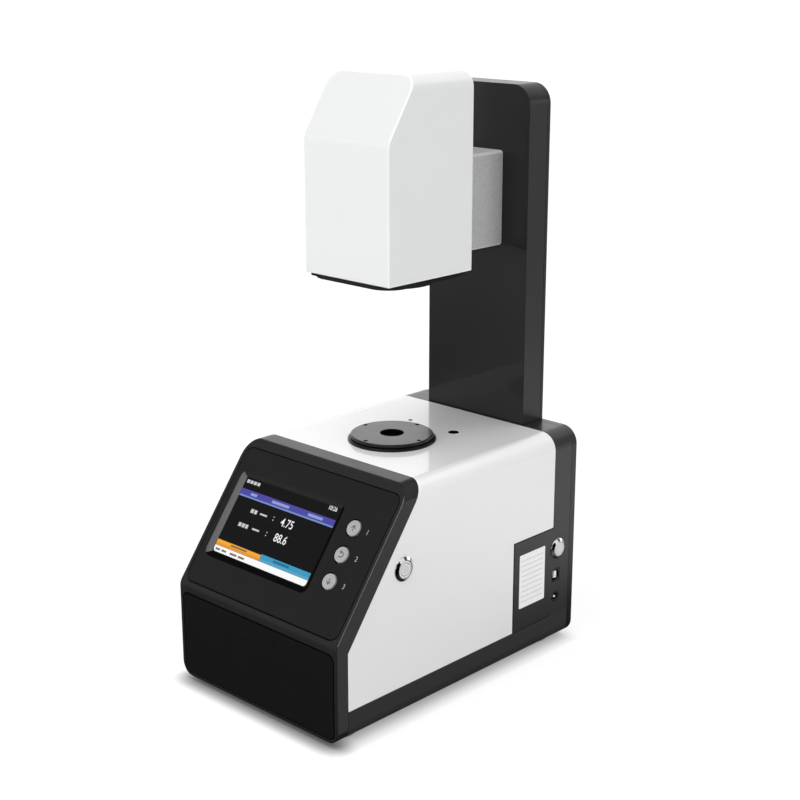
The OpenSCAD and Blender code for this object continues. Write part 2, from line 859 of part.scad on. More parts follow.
module test_button_body() {
    color(steel) lift() on_side(test_y, test_z)
        button_body(test_ring_r, test_body_r, test_cap_r + slide_gap, test_length, test_depth);
}

module test_button_cap() {
    color([0.8, 0.8, 0.8]) lift() on_side(test_y, test_z)
        button_cap(test_cap_r, test_cap_l, ring_proud - test_cap_drop);
}

module test_button_nut() {
    color(steel) lift() on_side(test_y, test_z) button_nut(test_body_r, shell_t);
}

hub_r = 24;
port_lip = 1.5;
port_bore = port_r + port_lip;
ring_step = 0.8;
port_screw_r = 1;
port_screw_gap = 0.1;
port_head_r = 1.9;
port_head_t = 1;
port_sink = 1.2;
port_screw_bite = 1.7;
plate_edge = 0.9;

// Ring on the top face, with the hub that seats on the sphere
module port_ring() {
    color(deep_black) lift() translate([0, port_y, base_h]) difference() {
        union() {
            rotate_extrude() polygon([
                [0, 0], [port_ring_r, 0], [port_ring_r, port_ring_t - ring_step],
                [port_ring_r - ring_step, port_ring_t], [0, port_ring_t]]);
            translate([0, 0, neck_top - base_h]) cylinder(r = hub_r, h = base_h - neck_top + eps);
        }
        translate([0, 0, neck_top - base_h - 1])
            cylinder(r = port_bore, h = base_h - neck_top + port_ring_t + 2);
        port_screw_places() translate([0, 0, port_ring_t - port_screw_bite - port_head_t / 2])
            cylinder(r = port_screw_r + slide_gap, h = port_ring_t);
    }
}

module port_screw_places() {
    for (a = [0:90:270]) rotate(a) translate([port_screw_circle, 0, 0]) children();
}

// Plate round the sample port, on which samples are laid
module port_plate() {
    color([0.35, 0.35, 0.36]) lift() translate([0, port_y, base_h + port_ring_t]) difference() {
        rotate_extrude() polygon([
            [0, 0], [port_plate_r - plate_edge, 0], [port_plate_r, plate_edge],
            [port_plate_r, port_plate_t - plate_edge], [port_plate_r - plate_edge, port_plate_t],
            [0, port_plate_t]]);
        translate([0, 0, -1]) cylinder(r = port_r, h = port_plate_t + 2);
        port_screw_places() {
            translate([0, 0, -1]) cylinder(r = port_screw_r + port_screw_gap, h = port_plate_t + 2);
            translate([0, 0, port_plate_t - port_sink])
                cylinder(r = port_head_r + port_screw_gap, h = port_sink + 1);
        }
    }
}

module port_screws() {
    color(deep_black) lift() translate([0, port_y, base_h + port_ring_t + port_plate_t - port_sink])
        port_screw_places()
            cap_screw(port_screw_r, port_plate_t - port_sink + port_screw_bite, port_head_r, port_head_t);
}

comp_d = norm([comp_x, comp_back]);
comp_wall = 2.4;
comp_tube_r = comp_r + comp_wall;
comp_boss_w = 2;
comp_boss_top = sphere_z + sqrt(pow(sphere_r + sphere_t, 2) - pow(comp_d - comp_tube_r, 2)) + 1;

// Black tube between the small opening in the cover and the sphere
module compensation_tube() {
    color(deep_black) lift() translate([comp_x, port_y + comp_back, comp_boss_top]) difference() {
        cylinder(r = comp_tube_r, h = base_h - shell_t - seat_gap - comp_boss_top);
        translate([0, 0, -1]) cylinder(r = comp_r, h = base_h);
    }
}

sphere_bolt_past = 6;
post_bore_l = 9;

module bolt_circle() {
    for (a = [0:45:315]) rotate(a) translate([post_circle, 0, 0]) children();
}

// Upper half of the integrating sphere, with its flange and both necks
module sphere_upper() {
    color(cast_grey) lift() translate([0, port_y, sphere_z]) difference() {
        union() {
            intersection() {
                sphere(r = sphere_r + sphere_t, $fn = 96);
                cylinder(r = flange_r, h = flange_r);
            }
            cylinder(r = flange_r, h = flange_t);
            translate([0, 0, sphere_r - trap_neck])
                cylinder(r = hub_r, h = neck_top - sphere_z - sphere_r + trap_neck);
            translate([comp_x, comp_back, sphere_r / 2])
                cylinder(r = comp_tube_r + comp_boss_w, h = comp_boss_top - sphere_z - sphere_r / 2);
        }
        sphere(r = sphere_r, $fn = 96);
        cylinder(r = port_bore, h = 2 * sphere_r);
        translate([comp_x, comp_back, 0]) cylinder(r = comp_r, h = 2 * sphere_r);
        translate([0, 0, -1]) bolt_circle() cylinder(r = m3_hole, h = flange_t + 2);
    }
}

detector_tilt = 35;
detector_r = 5.5;
detector_leg_x = 2.5;
detector_leg_r = 0.4;
detector_leg_l = 8;
detector_can_w = 2.4;
detector_can_l = 5;
holder_r = 13;
holder_l = 16;
holder_floor = 5;
holder_seat = 5;
holder_root = 3;
trap_flange = 6;
trap_wall = 2;
trap_rim = 5;
trap_cone_drop = 6;

// Places things on the detector's axis, with z out of the sphere
module on_detector() {
    rotate([0, -90 - detector_tilt, 0]) children();
}

// Lower half of the integrating sphere, with the beam exit and the detector port
module sphere_lower() {
    color(cast_grey) lift() translate([0, port_y, sphere_z]) difference() {
        union() {
            intersection() {
                sphere(r = sphere_r + sphere_t, $fn = 96);
                translate([0, 0, -flange_r]) cylinder(r = flange_r, h = flange_r);
            }
            translate([0, 0, -flange_t]) cylinder(r = flange_r, h = flange_t);
            translate([0, 0, -sphere_r - trap_neck]) cylinder(r = trap_r + trap_flange, h = 2 * trap_neck);
            on_detector() translate([0, 0, sphere_r - holder_root])
                cylinder(r = holder_r, h = holder_root + holder_seat);
        }
        sphere(r = sphere_r, $fn = 96);
        translate([0, 0, -2 * sphere_r]) cylinder(r = trap_r, h = 2 * sphere_r);
        on_detector() cylinder(r = detector_r, h = 2 * sphere_r);
        translate([0, 0, -flange_t - 1]) bolt_circle() cylinder(r = m3_hole, h = flange_t + 2);
    }
}

module sphere_bolts() {
    color(steel) lift() translate([0, port_y, sphere_z + flange_t])
        bolt_circle() cap_screw(m3_r, 2 * flange_t + sphere_bolt_past, m3_head_r, m3_head_t);
}

module sphere_posts() {
    low = floor_z + post_pad_t;
    color(steel) lift() translate([0, port_y, 0]) for (a = [45:90:315])
        rotate(a) translate([post_circle, 0, low]) difference() {
            cylinder(r = post_r, h = sphere_z - flange_t - low);
            translate([0, 0, sphere_z - flange_t - low - post_bore_l])
                cylinder(r = m3_hole, h = post_bore_l + 1);
        }
}

module detector_holder() {
    color(deep_black) lift() translate([0, port_y, sphere_z]) on_detector()
        translate([0, 0, sphere_r + holder_seat]) difference() {
            cylinder(r = holder_r, h = holder_l);
            translate([0, 0, -1]) cylinder(r = detector_r, h = holder_floor + 2);
            translate([0, 0, holder_floor])
                cylinder(r = detector_r + detector_can_w + seat_gap, h = holder_l);
        }
}

module photodetector() {
    color(steel) lift() translate([0, port_y, sphere_z]) on_detector()
        translate([0, 0, sphere_r + holder_seat + holder_floor]) {
            cylinder(r = detector_r + detector_can_w, h = detector_can_l);
            for (x = [-1, 1])
                translate([x * detector_leg_x, 0, detector_can_l - eps])
                    cylinder(r = detector_leg_r, h = detector_leg_l);
        }
}

// Black cup under the beam exit, with a cone that scatters the direct beam
module light_trap() {
    top = -sphere_r - trap_neck;
    color(deep_black) lift() translate([0, port_y, sphere_z + top - trap_l]) {
        difference() {
            cylinder(r = trap_r + trap_rim, h = trap_l);
            translate([0, 0, trap_wall]) cylinder(r = trap_r + trap_rim - trap_wall, h = trap_l);
        }
        translate([0, 0, trap_wall - eps])
            cylinder(r1 = trap_r + trap_wall, r2 = 0, h = trap_l - trap_cone_drop);
    }
}

// Rubber feet
module feet() {
    color([0.08, 0.08, 0.08]) both_sides() for (y = foot_y)
        translate([foot_x, y, 0]) difference() {
            cylinder(r1 = foot_r - foot_taper, r2 = foot_r, h = foot_h);
            translate([0, 0, -1]) cylinder(r = m3_hole, h = foot_h + 2);
            translate([0, 0, -foot_web]) cylinder(r = m3_head_r + sink, h = foot_h);
        }
}

module foot_screws() {
    color(steel) both_sides() for (y = foot_y)
        translate([foot_x, y, foot_h - foot_web]) mirror([0, 0, 1])
            cap_screw(m3_r, floor_z + foot_boss_h - foot_web, m3_head_r, foot_h - foot_web - foot_bare);
}

// Screws from below that hold the white cover
module cover_screws() {
    color(steel) lift() both_sides() for (y = tab_y)
        translate([tab_x, y, cover_screw_z]) mirror([0, 0, 1])
            cap_screw(m3_r, tray_h + tab_t - cover_screw_z, m3_head_r, m3_head_t);
}

module bezel_screws() {
    color(steel) lift() for (x = [-1, 0, 1])
        translate([x * bezel_screw_x, seam_y + chassis_t, bezel_screw_z])
            rotate([-90, 0, 0]) cap_screw(m3_r, chassis_t + bezel_screw_l, m3_head_r, m3_head_t);
}

vent_w = 2.6;
vent_l = 34;
vent_x = 42;
vent_z = 62;
vent_pitch = 7;
vent_count = 7;

// Shallow cover behind the base, with vent slots
module rear_cover() {
    color(black) lift() difference() {
        along_y(cover_y, rear_y) base_front_outline();
        difference() {
            along_y(cover_y - past, rear_y - chassis_t) base_front_outline(chassis_t);
            both_sides() for (p = rear_boss_places)
                translate([p.x, rear_y, p.y]) rotate([90, 0, 0]) cylinder(r = boss_r, h = rear_cover_t);
        }
        both_sides() for (p = rear_boss_places) {
            translate([p.x, rear_y + 1, p.y]) rotate([90, 0, 0])
                cylinder(r = m3_hole, h = rear_cover_t + 2);
            translate([p.x, rear_y + 1, p.y]) rotate([90, 0, 0])
                cylinder(r = m3_head_r + head_run_gap, h = m3_head_t + sink + 1);
        }
        for (x = [-1, 1], i = [0:vent_count - 1])
            translate([x * vent_x, rear_y, vent_z + i * vent_pitch]) rotate([90, 0, 0])
                linear_extrude(rear_cover_t * 2, center = true)
                    round_rect(vent_l, vent_w, vent_w / 2 - eps);
    }
}

module rear_screws() {
    color(steel) lift() both_sides() for (p = rear_boss_places)
        translate([p.x, rear_y - m3_head_t - sink, p.y]) rotate([-90, 0, 0])
            cap_screw(m3_r, rear_cover_t + screw_bite, m3_head_r, m3_head_t);
}

// Front outline of the column seen along Y
module column_outline(inset = 0) {
    w = column_w / 2 - inset;
    r = column_r - inset;
    top = column_top - inset;
    translate([-w, base_h]) square([2 * w, top - r - base_h]);
    translate([r - w, top - r - eps]) square([2 * (w - r), r + eps]);
    for (x = [-1, 1]) translate([x * (w - r), top - r]) circle(r);
}

column_screw_x = column_w / 2 - column_in - boss_r + 1;
column_screw_low = 20;
column_screw_high = 30;
column_screw_z = [base_h + column_screw_low, (base_h + column_top) / 2, column_top - column_screw_high];
arm_z = head_z + arm_up;
arm_bolt_x = 15;
arm_bolt_in = 15;
arm_bolt_z = [arm_z + arm_bolt_in, arm_z + arm_h - arm_bolt_in];
m6_r = 3;
m6_hole = 3.2;
m6_head_r = 5;
m6_head_t = 5;
m6_gap = 0.1;
m6_bite = 16;
m6_bore_l = 18;
m6_wall_l = 6;
cable_r = 8;
spine_short = 12;

// Column front, an open channel
module column() {
    color(black) lift() difference() {
        along_y(column_y, column_cover_y) column_outline();
        difference() {
            along_y(column_y + column_in, column_cover_y + past) translate([0, -past]) {
                column_outline(column_in);
                translate([column_in - column_w / 2, base_h - past])
                    square([column_w - 2 * column_in, 3 * past]);
            }
            both_sides() for (z = column_screw_z)
                translate([column_screw_x, column_cover_y, z]) rotate([90, 0, 0])
                    cylinder(r = boss_r, h = column_cover_y - column_y);
        }
        both_sides() for (z = column_screw_z)
            translate([column_screw_x, column_cover_y + eps, z]) rotate([90, 0, 0])
                cylinder(r = m3_hole, h = boss_bore_l);
        for (x = [-1, 1], z = arm_bolt_z)
            translate([x * arm_bolt_x, column_y - 1, z]) rotate([-90, 0, 0])
                cylinder(r = m6_hole, h = m6_wall_l);
        translate([0, column_y - 1, arm_z + arm_h / 2]) rotate([-90, 0, 0])
            cylinder(r = cable_r, h = m6_wall_l);
    }
}

// Plate that closes the column from behind
module column_cover() {
    color(black) lift() difference() {
        along_y(column_cover_y, rear_y) column_outline();
        both_sides() for (z = column_screw_z) {
            translate([column_screw_x, rear_y + 1, z]) rotate([90, 0, 0])
                cylinder(r = m3_hole, h = column_cover_t + 2);
            translate([column_screw_x, rear_y + 1, z]) rotate([90, 0, 0])
                cylinder(r = m3_head_r + head_run_gap, h = m3_head_t + sink + 1);
        }
    }
}

module column_screws() {
    color(steel) lift() both_sides() for (z = column_screw_z)
        translate([column_screw_x, rear_y - m3_head_t - sink, z]) rotate([-90, 0, 0])
            cap_screw(m3_r, column_cover_t + screw_bite, m3_head_r, m3_head_t);
}

// Steel channel inside the column that carries the arm, with its foot on the tray
module column_spine() {
    y0 = column_y + column_in;
    color(steel) lift() difference() {
        union() {
            translate([-spine_w / 2, y0, floor_z])
                cube([spine_w, spine_d, column_top - spine_short - floor_z]);
            translate([-spine_foot_w / 2, y0 + spine_d - spine_foot_d, floor_z])
                cube([spine_foot_w, spine_foot_d, spine_foot_t]);
        }
        translate([spine_t - spine_w / 2, y0 + spine_t, floor_z + spine_foot_t])
            cube([spine_w - 2 * spine_t, spine_d, column_top]);
        for (x = [-1, 1], z = arm_bolt_z)
            translate([x * arm_bolt_x, y0 - 1, z]) rotate([-90, 0, 0]) cylinder(r = m6_hole, h = m6_wall_l);
        translate([0, y0 - 1, arm_z + arm_h / 2]) rotate([-90, 0, 0]) cylinder(r = cable_r, h = m6_wall_l);
    }
}

head_front_y = port_y - head_front;
head_back_y = head_front_y + head_d;
arm_r = 3;

// Cast block between the column and the head
module cast_arm() {
    color(cast_grey) lift() difference() {
        along_y(head_back_y, column_y)
            translate([0, arm_z + arm_h / 2]) round_rect(arm_w, arm_h, arm_r);
        translate([0, head_back_y - 1, arm_z + arm_h / 2]) rotate([-90, 0, 0])
            cylinder(r = cable_r, h = column_y - head_back_y + 2);
        for (x = [-1, 1], z = arm_bolt_z) {
            translate([x * arm_bolt_x, column_y + 1, z]) rotate([90, 0, 0])
                cylinder(r = m6_r + m6_gap, h = m6_bore_l + 1);
            translate([x * arm_bolt_x, head_back_y - 1, z]) rotate([-90, 0, 0])
                cylinder(r = m6_r + m6_gap, h = m6_bore_l + 1);
        }
    }
}

module arm_bolts() {
    color(steel) lift() for (x = [-1, 1], z = arm_bolt_z)
        translate([x * arm_bolt_x, column_y + column_in + spine_t, z]) rotate([-90, 0, 0])
            cap_screw(m6_r, column_in + spine_t + m6_bite, m6_head_r, m6_head_t);
}

bracket_t = 4;
bracket_w = 54;
bracket_short = 2;
bracket_shelf_w = 80;
bracket_cable_drop = 20;

module head_bolts() {
    color(steel) lift() for (x = [-1, 1], z = arm_bolt_z)
        translate([x * arm_bolt_x, head_back_y - head_t - bracket_t, z]) rotate([90, 0, 0])
            cap_screw(m6_r, head_t + bracket_t + m6_bite, m6_head_r, m6_head_t);
}

head_edge = 2.5;
head_soft = 12;

// Solid form of the head, taken in by inset
module head_form(inset = 0) {
    z1 = head_z + head_h;
    y0 = head_front_y;
    y1 = head_back_y;
    head_lean = atan2(head_run, head_h - head_kink);
    kink = head_z + head_kink - inset * tan(head_lean / 2);
    run_top = y0 + inset + (z1 - inset - kink) * tan(head_lean);
    intersection() {
        along_x(inset - head_w / 2, head_w / 2 - inset) polygon(rounded(
            [[y0 + inset, head_z - (inset > 0 ? past : 0)], [y0 + inset, kink],
             [run_top, z1 - inset], [y1 - inset, z1 - inset],
             [y1 - inset, head_z - (inset > 0 ? past : 0)]],
            [0, head_soft, head_edge, head_edge, 0]));
        translate([0, (y0 + y1) / 2, head_z - past]) linear_extrude(head_h + 2 * past)
            round_rect(head_w - 2 * inset, head_d - 2 * inset, head_edge - (inset > 0 ? 1.5 : 0));
        along_y(y0 - past, y1 + past) translate([0, z1 - inset - head_h])
            round_rect(head_w - 2 * inset, 2 * head_h, head_top_r - inset);
    }
}

head_boss_x = 33;
head_boss_in = 3.2;
head_boss_r = 4;
head_boss_h = 18;
head_screw_l = 12;
head_plate_in = 0.7;
head_plate_sink = 0.2;
head_plate_r = 20;
head_boss_y = [head_front_y + head_t + head_boss_in, head_back_y - head_t - head_boss_in];
head_step_t = 3;

// White cover of the head
module head_shell() {
    color(shell_white) lift() difference() {
        intersection() {
            head_form();
            translate([-head_w, head_front_y - past, head_z])
                cube([2 * head_w, head_d + 2 * past, head_h + past]);
        }
        difference() {
            head_form(head_t);
            both_sides() for (y = head_boss_y)
                translate([head_boss_x, y, head_z + head_step_t])
                    cylinder(r = head_boss_r, h = head_boss_h);
        }
        both_sides() for (y = head_boss_y)
            translate([head_boss_x, y, head_z]) cylinder(r = m3_r + m3_run, h = boss_bore_l);
        for (x = [-1, 1], z = arm_bolt_z)
            translate([x * arm_bolt_x, head_back_y + 1, z]) rotate([90, 0, 0])
                cylinder(r = m6_hole, h = head_t + 2);
        translate([0, head_back_y + 1, arm_z + arm_h / 2]) rotate([90, 0, 0])
            cylinder(r = cable_r, h = head_t + 2);
    }
}

lens_neck_r = 33.8;
head_mid_y = (head_front_y + head_back_y) / 2;

// Black plate that closes the head from below
module head_plate() {
    color(deep_black) lift() difference() {
        union() {
            translate([0, head_mid_y, head_z - head_plate_drop]) linear_extrude(head_plate_drop)
                round_rect(head_w - 2 * head_plate_in, head_d - 2 * head_plate_in, head_plate_r);
            translate([0, head_mid_y, head_z - eps]) linear_extrude(head_step_t + eps)
                round_rect(head_w - 2 * head_t - 2 * fit, head_d - 2 * head_t - 2 * fit, 2);
        }
        translate([0, port_y, head_z - past]) cylinder(r = lens_neck_r + seat_gap, h = 3 * past);
        both_sides() for (y = head_boss_y) translate([head_boss_x, y, head_z - head_plate_drop - 1]) {
            cylinder(r = m3_hole, h = head_screw_l);
            cylinder(r = m3_head_r + head_run_gap, h = m3_head_t + head_plate_sink + 1);
        }
    }
}

module head_plate_screws() {
    color(steel) lift() both_sides() for (y = head_boss_y)
        translate([head_boss_x, y, head_z - head_plate_drop + m3_head_t + head_plate_sink])
            mirror([0, 0, 1]) cap_screw(m3_r, head_screw_l, m3_head_r, m3_head_t);
}

lens_r = 28.9;
lens_seat = 3.2;
lens_curve = 60;
lens_edge = 1;
lens_lip = 2.9;
lens_ring_edge = 1;

// Ring below the head that holds the lens
module lens_ring() {
    low = head_z - lens_ring_drop;
    color(deep_black) lift() translate([0, port_y, low]) rotate_extrude() polygon([
        [lens_r - lens_lip, 0], [lens_ring_r - lens_ring_edge, 0], [lens_ring_r, lens_ring_edge],
        [lens_ring_r, lens_ring_drop - head_plate_drop], [lens_neck_r, lens_ring_drop - head_plate_drop],
        [lens_neck_r, lens_ring_drop + head_step_t], [lens_r + seat_gap, lens_ring_drop + head_step_t],
        [lens_r + seat_gap, lens_seat], [lens_r - lens_lip, lens_seat]]);
}

module collimator_lens() {
    low = head_z - lens_ring_drop + lens_seat;
    sag = lens_curve - sqrt(lens_curve * lens_curve - lens_r * lens_r);
    color([0.8, 0.9, 0.95, 0.5]) lift() translate([0, port_y, low]) intersection() {
        cylinder(r = lens_r, h = lens_edge + sag + 1);
        translate([0, 0, lens_edge + sag - lens_curve]) sphere(r = lens_curve, $fn = 96);
    }
}

barrel_r = 31;
barrel_bore = 28.3;
barrel_collar_w = 5;
barrel_collar_t = 3;
barrel_wall = 2;
shelf_up = 66.4;
stop_up = 81.4;
barrel_up = 93.4;
barrel_low = head_z + head_step_t + fit;
shelf_z = head_z + shelf_up;
stop_z = head_z + stop_up;
barrel_top = head_z + barrel_up;
stop_t = 2;
stop_r = 3;
lamp_board_t = 2;
lamp_drop = 3;
lamp_r = 5;
lamp_dome_r = 4;

// Tube that carries the lamp and the stop
module lens_barrel() {
    color(deep_black) lift() translate([0, port_y, 0]) difference() {
        union() {
            translate([0, 0, barrel_low]) cylinder(r = barrel_r, h = barrel_top - barrel_low);
            translate([0, 0, shelf_z + bracket_t])
                cylinder(r = barrel_r + barrel_collar_w, h = barrel_collar_t);
        }
        translate([0, 0, barrel_low - 1]) cylinder(r = barrel_bore - barrel_wall, h = barrel_top);
        translate([0, 0, stop_z]) cylinder(r = barrel_bore, h = barrel_top);
    }
}

module aperture_stop() {
    color(deep_black) lift() translate([0, port_y, stop_z]) difference() {
        cylinder(r = barrel_bore - seat_gap, h = stop_t);
        translate([0, 0, -1]) cylinder(r = stop_r, h = stop_t + 2);
    }
}

module lamp_module() {
    color([0.9, 0.9, 0.85]) lift() translate([0, port_y, barrel_top]) {
        cylinder(r = sink_r, h = lamp_board_t);
        translate([0, 0, -lamp_drop]) cylinder(r = lamp_r, h = lamp_drop + eps);
        translate([0, 0, -lamp_drop]) intersection() {
            sphere(r = lamp_dome_r);
            translate([0, 0, -lamp_r]) cylinder(r = lamp_r, h = lamp_r + eps);
        }
    }
}

fin_h = 18;
fin_t = 1.8;
fin_pitch = 6.4;
sink_t = 4;
sink_r = barrel_r - 0.5;

module heat_sink() {
    color([0.3, 0.3, 0.32]) lift() translate([0, port_y, barrel_top + lamp_board_t]) {
        cylinder(r = sink_r, h = sink_t);
        intersection() {
            cylinder(r = sink_r, h = sink_t + fin_h);
            for (i = [-4:4])
                translate([i * fin_pitch - fin_t / 2, -barrel_r, sink_t - eps])
                    cube([fin_t, 2 * barrel_r, fin_h]);
        }
    }
}

// Bracket bolted through the head cover to the cast arm
module head_bracket() {
    plate_y = head_back_y - head_t - bracket_t;
    shelf_front_y = port_y - barrel_r - barrel_collar_w;
    color(steel) lift() difference() {
        union() {
            translate([-bracket_w / 2, plate_y, arm_z + bracket_short])
                cube([bracket_w, bracket_t, arm_h - 2 * bracket_short]);
            translate([-bracket_shelf_w / 2, shelf_front_y, shelf_z])
                cube([bracket_shelf_w, plate_y + bracket_t - shelf_front_y, bracket_t]);
        }
        translate([0, port_y, shelf_z - 1]) cylinder(r = barrel_r + seat_gap, h = bracket_t + 2);
        for (x = [-1, 1], z = arm_bolt_z)
            translate([x * arm_bolt_x, plate_y - 1, z]) rotate([-90, 0, 0])
                cylinder(r = m6_hole, h = m6_wall_l);
        translate([0, plate_y - 1, arm_z + arm_h / 2 - bracket_cable_drop]) rotate([-90, 0, 0])
            cylinder(r = cable_r, h = m6_wall_l);
    }
}

base_frame();
base_shell();
front_bezel();
control_panel();
front_plate();
screen_window();
display_module();
key_board();
key_switches();
key_up();
key_return();
key_down();
main_board();
connector_board();
usb_socket();
power_jack();
rating_label();
power_button_body();
power_button_cap();
power_button_nut();
test_button_body();
test_button_cap();
test_button_nut();
port_ring();
port_plate();
port_screws();
compensation_tube();
sphere_upper();
sphere_lower();
sphere_bolts();
sphere_posts();
detector_holder();
photodetector();
light_trap();
feet();
foot_screws();
cover_screws();
bezel_screws();
rear_cover();
rear_screws();
column();
column_cover();
column_screws();
column_spine();
cast_arm();
arm_bolts();
head_bolts();
head_shell();
head_plate();
head_plate_screws();
lens_ring();
collimator_lens();
lens_barrel();
aperture_stop();
lamp_module();
heat_sink();
head_bracket();
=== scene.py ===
import math

import bmesh
import bpy
from mathutils import Matrix, Vector


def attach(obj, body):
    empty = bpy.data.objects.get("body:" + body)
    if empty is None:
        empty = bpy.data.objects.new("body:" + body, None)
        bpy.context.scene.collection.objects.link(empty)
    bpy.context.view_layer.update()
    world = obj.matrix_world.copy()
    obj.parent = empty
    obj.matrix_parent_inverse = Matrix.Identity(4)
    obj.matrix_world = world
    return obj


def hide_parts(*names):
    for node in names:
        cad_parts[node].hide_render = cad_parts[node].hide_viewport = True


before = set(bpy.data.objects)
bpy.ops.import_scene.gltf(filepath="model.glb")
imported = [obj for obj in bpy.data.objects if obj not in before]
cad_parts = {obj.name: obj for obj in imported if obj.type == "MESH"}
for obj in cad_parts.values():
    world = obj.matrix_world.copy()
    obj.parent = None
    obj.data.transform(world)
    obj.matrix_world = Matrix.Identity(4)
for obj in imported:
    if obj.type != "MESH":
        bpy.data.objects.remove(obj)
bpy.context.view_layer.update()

# Black chassis: one moulding of bottom tray, rear frame and the cheek that
# holds the sockets. Satin black plastic with a fine grain, hollow inside.


def display(red, green=None, blue=None):
    """A colour for a shader from display levels 0 to 255."""
    levels = (red, red if green is None else green, red if blue is None else blue)
    linear = [(v / 255 / 12.92) if v <= 10 else ((v / 255 + 0.055) / 1.055) ** 2.4 for v in levels]
    return tuple(linear) + (1,)


def make_surface_group():
    """Blotches in colour, unevenness in roughness and grain in height, shared by all the finishes."""
    group = bpy.data.node_groups.new("uneven surface", "ShaderNodeTree")
    for name in ("Colour", "Mottle", "Blotch Scale", "Roughness", "Spread", "Grain Scale"):
        kind = "NodeSocketColor" if name == "Colour" else "NodeSocketFloat"
        group.interface.new_socket(name, in_out="INPUT", socket_type=kind)
    for name in ("Colour", "Roughness", "Height"):
        kind = "NodeSocketColor" if name == "Colour" else "NodeSocketFloat"
        group.interface.new_socket(name, in_out="OUTPUT", socket_type=kind)
    nodes, link = group.nodes, group.links.new
    given = nodes.new("NodeGroupInput")
    result = nodes.new("NodeGroupOutput")
    coordinates = nodes.new("ShaderNodeTexCoord")

    def noise(detail):
        """Noise that stays with the piece, from 0 to 1."""
        node = nodes.new("ShaderNodeTexNoise")
        node.inputs["Detail"].default_value = detail
        link(coordinates.outputs["Object"], node.inputs["Vector"])
        return node

    def vary(source, amount):
        """The noise about its middle, times an amount, with room for a value to add."""
        centred = nodes.new("ShaderNodeMath")
        centred.operation = "SUBTRACT"
        centred.inputs[1].default_value = 0.5
        link(source.outputs["Fac"], centred.inputs[0])
        varied = nodes.new("ShaderNodeMath")
        varied.operation = "MULTIPLY_ADD"
        link(centred.outputs[0], varied.inputs[0])
        link(amount, varied.inputs[1])
        return varied

    blotch = noise(5)
    link(given.outputs["Blotch Scale"], blotch.inputs["Scale"])
    tint = vary(blotch, given.outputs["Mottle"])
    tint.inputs[2].default_value = 1
    tinted = nodes.new("ShaderNodeVectorMath")
    tinted.operation = "SCALE"
    link(given.outputs["Colour"], tinted.inputs[0])
    link(tint.outputs[0], tinted.inputs["Scale"])
    link(tinted.outputs[0], result.inputs["Colour"])

    uneven = noise(6)
    uneven.inputs["Scale"].default_value = 55
    rough = vary(uneven, given.outputs["Spread"])
    rough.use_clamp = True
    link(given.outputs["Roughness"], rough.inputs[2])
    link(rough.outputs[0], result.inputs["Roughness"])

    grain = noise(3)
    link(given.outputs["Grain Scale"], grain.inputs["Scale"])
    link(grain.outputs["Fac"], result.inputs["Height"])
    return group


surface_group = make_surface_group()


def finish(name, colour, rough, metal=0.0, coat=0.0, mottle=0.06, blotch=40, spread=0.12, grain=1600,
           depth=0.02, shine=0.5):
    """A finish with blotches, uneven gloss and a grain that is depth mm high."""
    material = bpy.data.materials.new(name)
    material.use_nodes = True
    nodes, link = material.node_tree.nodes, material.node_tree.links.new
    shader = nodes["Principled BSDF"]
    shader.inputs["Metallic"].default_value = metal
    shader.inputs["Specular IOR Level"].default_value = shine
    shader.inputs["Coat Weight"].default_value = coat
    shader.inputs["Coat Roughness"].default_value = 0.04
    uneven = nodes.new("ShaderNodeGroup")
    uneven.node_tree = surface_group
    uneven.inputs["Colour"].default_value = colour
    uneven.inputs["Mottle"].default_value = mottle
    uneven.inputs["Blotch Scale"].default_value = blotch
    uneven.inputs["Roughness"].default_value = rough
    uneven.inputs["Spread"].default_value = spread
    uneven.inputs["Grain Scale"].default_value = grain
    bump = nodes.new("ShaderNodeBump")
    bump.inputs["Distance"].default_value = depth / 1000
    bump.inputs["Strength"].default_value = 1
    link(uneven.outputs["Colour"], shader.inputs["Base Color"])
    link(uneven.outputs["Roughness"], shader.inputs["Roughness"])
    link(uneven.outputs["Height"], bump.inputs["Height"])
    link(bump.outputs["Normal"], shader.inputs["Normal"])
    return material


def satin(name, level, rough, coat=0.0, shine=0.5, depth=0.03):
    """Satin black plastic or enamel with a fine grain, as light as a display level."""
    colour = display(level, level, level + 1)
    return finish(name, colour, rough, coat=coat, grain=1500, depth=depth, shine=shine)


def only(piece):
    """Makes the piece the only one chosen."""
    bpy.ops.object.select_all(action="DESELECT")
    bpy.context.view_layer.objects.active = piece
    piece.select_set(True)


def start_block(name, low, high):
    """A new block between two corners in mm."""
    bpy.ops.object.select_all(action="DESELECT")
    low, high = Vector(low) / 1000, Vector(high) / 1000
    bpy.ops.mesh.primitive_cube_add(size=1, location=(low + high) / 2, scale=high - low)
    bpy.ops.object.transform_apply(location=True, rotation=True, scale=True)
    piece = bpy.context.object
    piece.name = name
    return piece


def rod(name, radius, axis, start, end, sides=48):
    """A rod in mm from start to end along an axis."""
    bpy.ops.object.select_all(action="DESELECT")
    start, end = Vector(start) / 1000, Vector(end) / 1000
    turn = {"x": (0, math.pi / 2, 0), "y": (math.pi / 2, 0, 0), "z": (0, 0, 0)}[axis]
    bpy.ops.mesh.primitive_cylinder_add(vertices=sides, radius=radius / 1000, depth=(end - start).length,
                                        location=(start + end) / 2, rotation=turn)
    bpy.ops.object.transform_apply(location=True, rotation=True, scale=True)
    piece = bpy.context.object
    piece.name = name
    return piece


